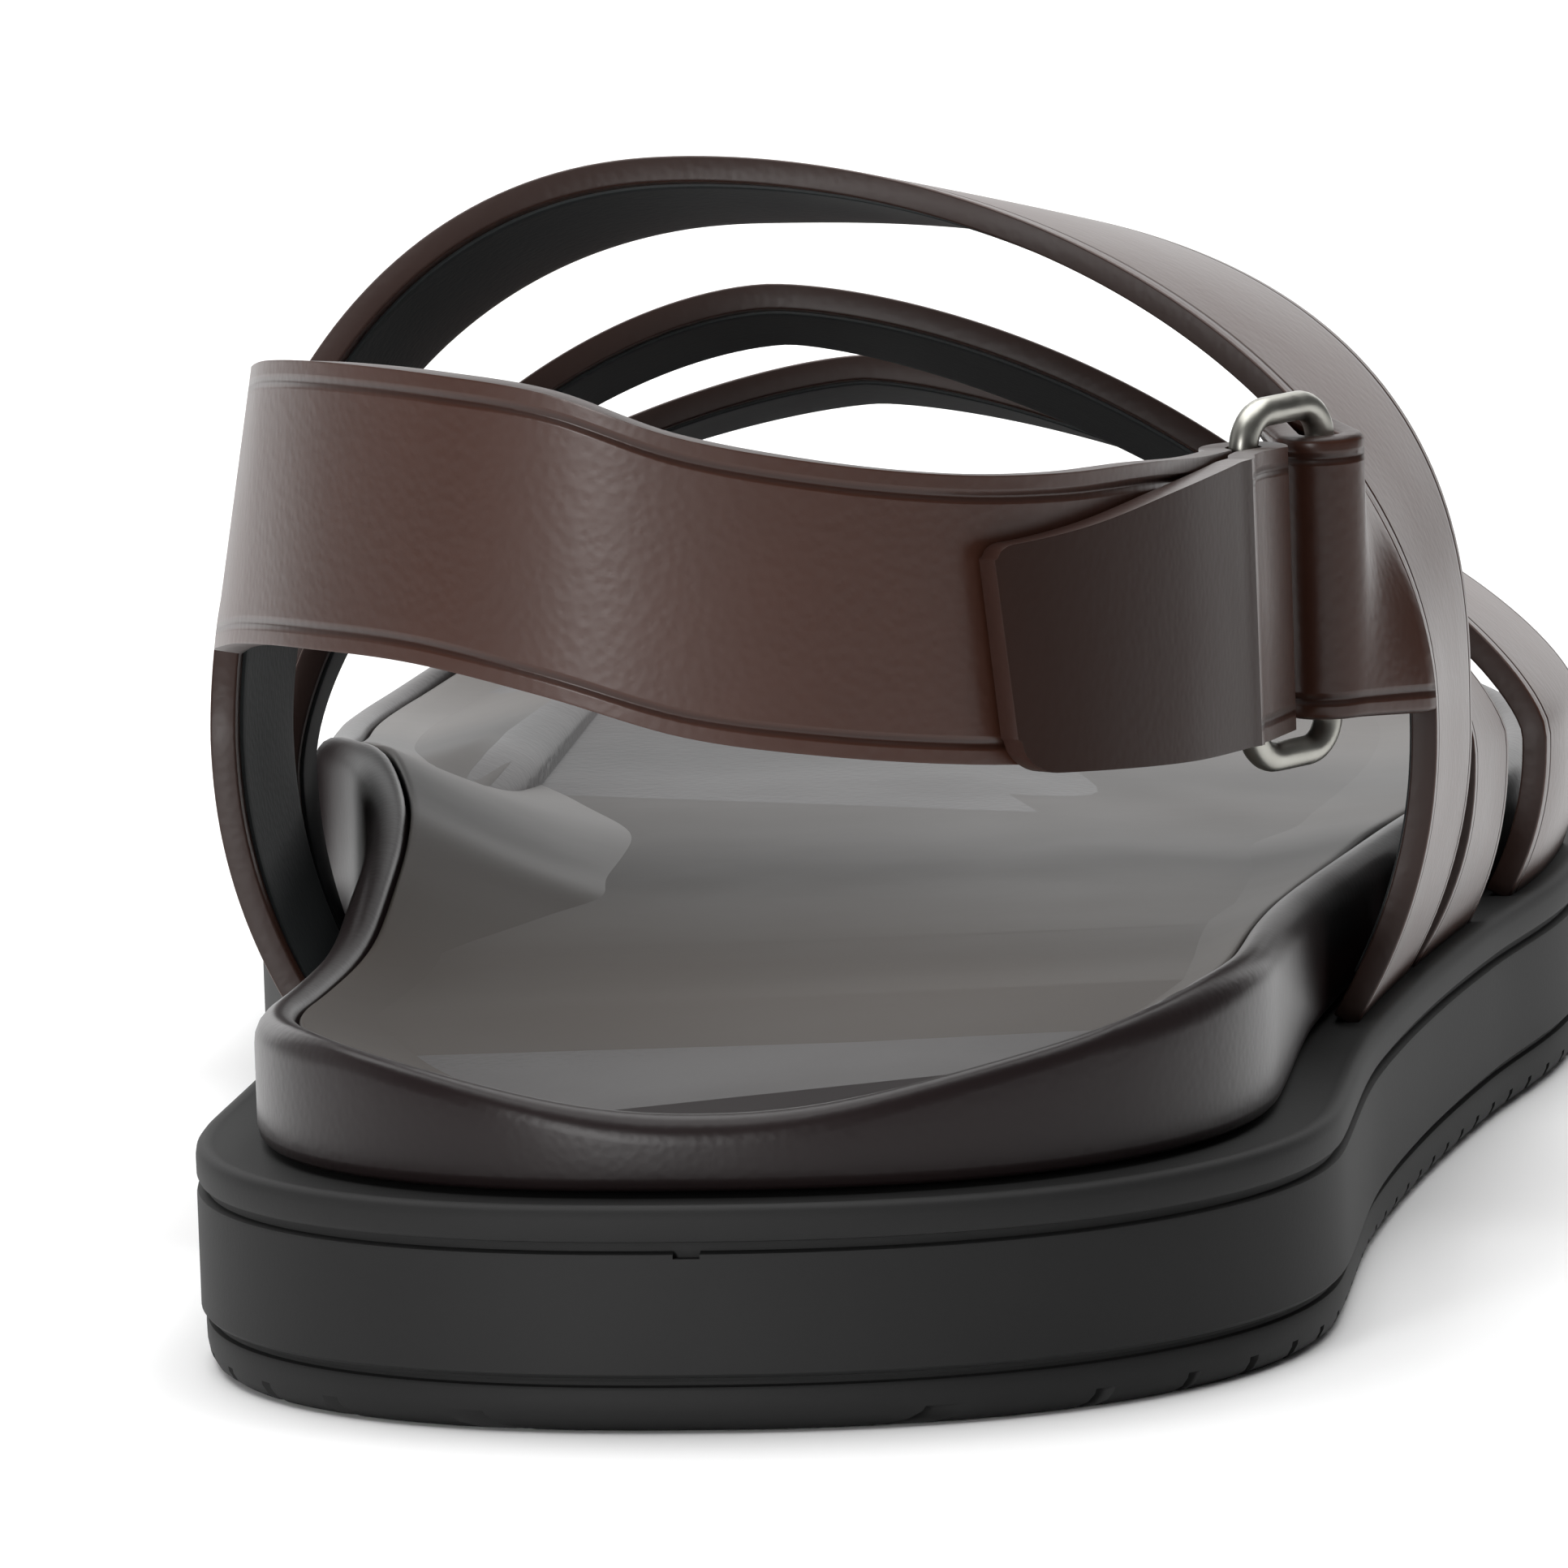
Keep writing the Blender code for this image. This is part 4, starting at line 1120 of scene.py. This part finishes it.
# %% The folded end
TAB_END_X = 0.0146
TAB_DROP = 0.0056
TOP_CORNER = 0.0011
LOW_CORNER = 0.0028
END_SLANT = 0.0011
END_SLANT_LENGTH = 0.012
END_STEP = 0.15 * MM
END_LENGTH = 0.0034
TAB_STEP = 1.1 * MM
TAB_DROP_CURVE = 2.2
LOW_EDGE_DROP = 0.5 * MM
BEND_X = 0.0600
BEND_RISE = 0.55 * MM
BEND_WIDTH = 0.0022


def corner_lift(left, radius):
    """How far a rounded corner has risen at a distance from the strap's end."""
    near = max(0.0, 1.0 - max(0.0, left) / radius)
    return radius * (1.0 - math.sqrt(max(0.0, 1.0 - near ** 2)))


def folded_end(run):
    """The strap's end laid back outside the inner run: cut at a slant, corners rounded off."""
    result = []
    last = None
    for i in range(len(run) - 2, 0, -1):
        low, high = run[i]
        left = low.x - TAB_END_X
        step = END_STEP if left < END_LENGTH else TAB_STEP
        if last and (low - last).length < step:
            continue
        last = low
        ahead_low = (run[i + 1][0] - run[i - 1][0]).normalized()
        bend = BEND_RISE * math.exp(-((low.x - BEND_X) / BEND_WIDTH) ** 2)
        away = (Vector((ahead_low.y, -ahead_low.x, 0.0))
                * (STRAP_THICKNESS + LAYER_GAP + bend))
        toward_tip = max(0.0, (rear_bar.x - low.x) / (rear_bar.x - TAB_END_X))
        slant = END_SLANT * max(0.0, 1.0 - max(0.0, left) / END_SLANT_LENGTH)
        top = TAB_DROP * toward_tip ** TAB_DROP_CURVE + corner_lift(left, TOP_CORNER)
        bottom = corner_lift(left, LOW_CORNER) - LOW_EDGE_DROP
        result.append([low + away + ahead_low * slant + Vector((0.0, 0.0, bottom)),
                       high + away - Vector((0.0, 0.0, top))])
        if left <= 0.0:
            break
    return result


fine_run = smooth_pairs([band_points(row) for row in HEEL_STRAP_ROWS], FINE_STEPS)
tab = folded_end([pair for pair in fine_run if pair[0].y < 0.0])
path = inner_run + fold + tab
low_line = [pair[0] for pair in path]
high_line = [pair[1] for pair in path]
lines = []
for k in range(COLUMNS + 1):
    across = (1.0 - math.cos(math.pi * k / COLUMNS)) / 2.0
    lines.append([a.lerp(b, across) for a, b in zip(low_line, high_line)])
print("heel strap rows:", len(lines[0]))


HEEL_LINING_FROM = 4
HEEL_LINING_SHORT = 2


def strip_length(line):
    return sum((b - a).length for a, b in zip(line, line[1:]))


def start_outwards(bm):
    """Turn the strip so that its start, on the inner side of the foot, looks off the foot."""
    first = min(bm.faces, key=lambda f: -f.calc_center_median().x - f.calc_center_median().y)
    if first.normal.y < 0.0:
        bmesh.ops.reverse_faces(bm, faces=bm.faces)
    bm.normal_update()


folded_from = strip_length(lines[COLUMNS // 2][:len(inner_run) + len(fold)])
strip = lay_strip(lines, end_free=True)
start_outwards(strip)
# Past the bend, the folded end gets the leather with painted shade in its colour.
for face in strip.faces:
    along = min(loop[strip.loops.layers.uv["strip"]].uv.x for loop in face.loops)
    if along > folded_from + ring_low.x - BEND_X:
        face.material_index = 2
heel_strap = finish_piece(strip, "heel_strap_leather",
                          [brown_leather, edge_leather, folded_leather_with_painted_shade, folded_edge],
                          "instep_and_heel_strap", False)
add_wall(heel_strap)

lining_to = len(inner_run) - HEEL_LINING_SHORT
inner = [line[HEEL_LINING_FROM:lining_to] for line in lines[LINING_INSET:-LINING_INSET]]
sheet = lay_strip(inner)
start_outwards(sheet)
add_lining(sheet, "heel_strap_lining")

# %% [markdown]
# The loop and the ring
#
# A short tongue of the instep strap goes round the ring's front bar and back inside. The ring
# is one bent wire: a small circle is swept along a rounded rectangle.

# %% Loop round the front bar
LOOP_START = Vector((0.006, 0.0006, 0.0))
LOOP_ROWS = 40
LOOP_MARGIN = 0.001

rear_edge = arch_lines("instep", 2, INSTEP_ROWS)[0]
outer_half = [point for point in rear_edge[INSTEP_ROWS // 2:]
              if ring_low.z - LOOP_MARGIN < point.z < ring_high.z + LOOP_MARGIN]
loop_rows = spread(outer_half[::-1], COLUMNS + 1)
lines = []
for k, corner in enumerate(loop_rows):
    height = ring_low.z + (ring_high.z - ring_low.z) * k / COLUMNS
    inside = corner + Vector((0.0, STRAP_THICKNESS + LAYER_GAP, 0.0))
    start = tangent_angle(front_bar, corner, -1) + 2.0 * math.pi
    end = tangent_angle(front_bar, inside, 1)
    line = [corner + LOOP_START, corner]
    line += [Vector((*spot, height)) for spot in turn_spots(front_bar, start, end)]
    line.append(inside)
    lines.append(spread(line, LOOP_ROWS))
strip = lay_strip(lines)
if min(strip.faces, key=lambda f: f.calc_center_median().y).normal.y > 0.0:
    bmesh.ops.reverse_faces(strip, faces=strip.faces)
loop_piece = finish_piece(strip, "ring_loop_leather", [brown_leather, edge_leather],
                          "instep_and_heel_strap", False)
add_wall(loop_piece)

# %% Wire ring
WIRE_SEGMENTS = 20
CORNER_STEPS = 10

wire_radius = RING_WIRE / 2.0
wire_low = ring_low.z - RING_ROOM - wire_radius
wire_high = ring_high.z + RING_ROOM + wire_radius
run = (front_bar - rear_bar).normalized().to_3d()
upright = Vector((0, 0, 1))
wire = bmesh.new()
bmesh.ops.create_circle(wire, segments=WIRE_SEGMENTS, radius=wire_radius)
here = Vector((*rear_bar, wire_high - RING_CORNER))
bmesh.ops.translate(wire, verts=wire.verts, vec=here)
edges = wire.edges[:]
long_span = wire_high - wire_low - 2 * RING_CORNER
short_span = RING_REACH - 2 * RING_CORNER
heading = upright
for toward, length in ((run, short_span), (-upright, long_span),
                       (-run, short_span), (upright, long_span)):
    centre = here + toward * RING_CORNER
    turned = bmesh.ops.spin(wire, geom=edges, cent=centre, axis=heading.cross(toward),
                            steps=CORNER_STEPS, angle=math.radians(90), use_merge=False)
    edges = [part for part in turned["geom_last"] if isinstance(part, bmesh.types.BMEdge)]
    here = centre + heading * RING_CORNER
    heading = toward
    corners, edges = extrude_open(wire, edges)
    bmesh.ops.translate(wire, verts=corners, vec=heading * length)
    here = here + heading * length
bmesh.ops.remove_doubles(wire, verts=wire.verts, dist=1e-6)
finish_piece(wire, "wire_ring", [dark_nickel], "ring")
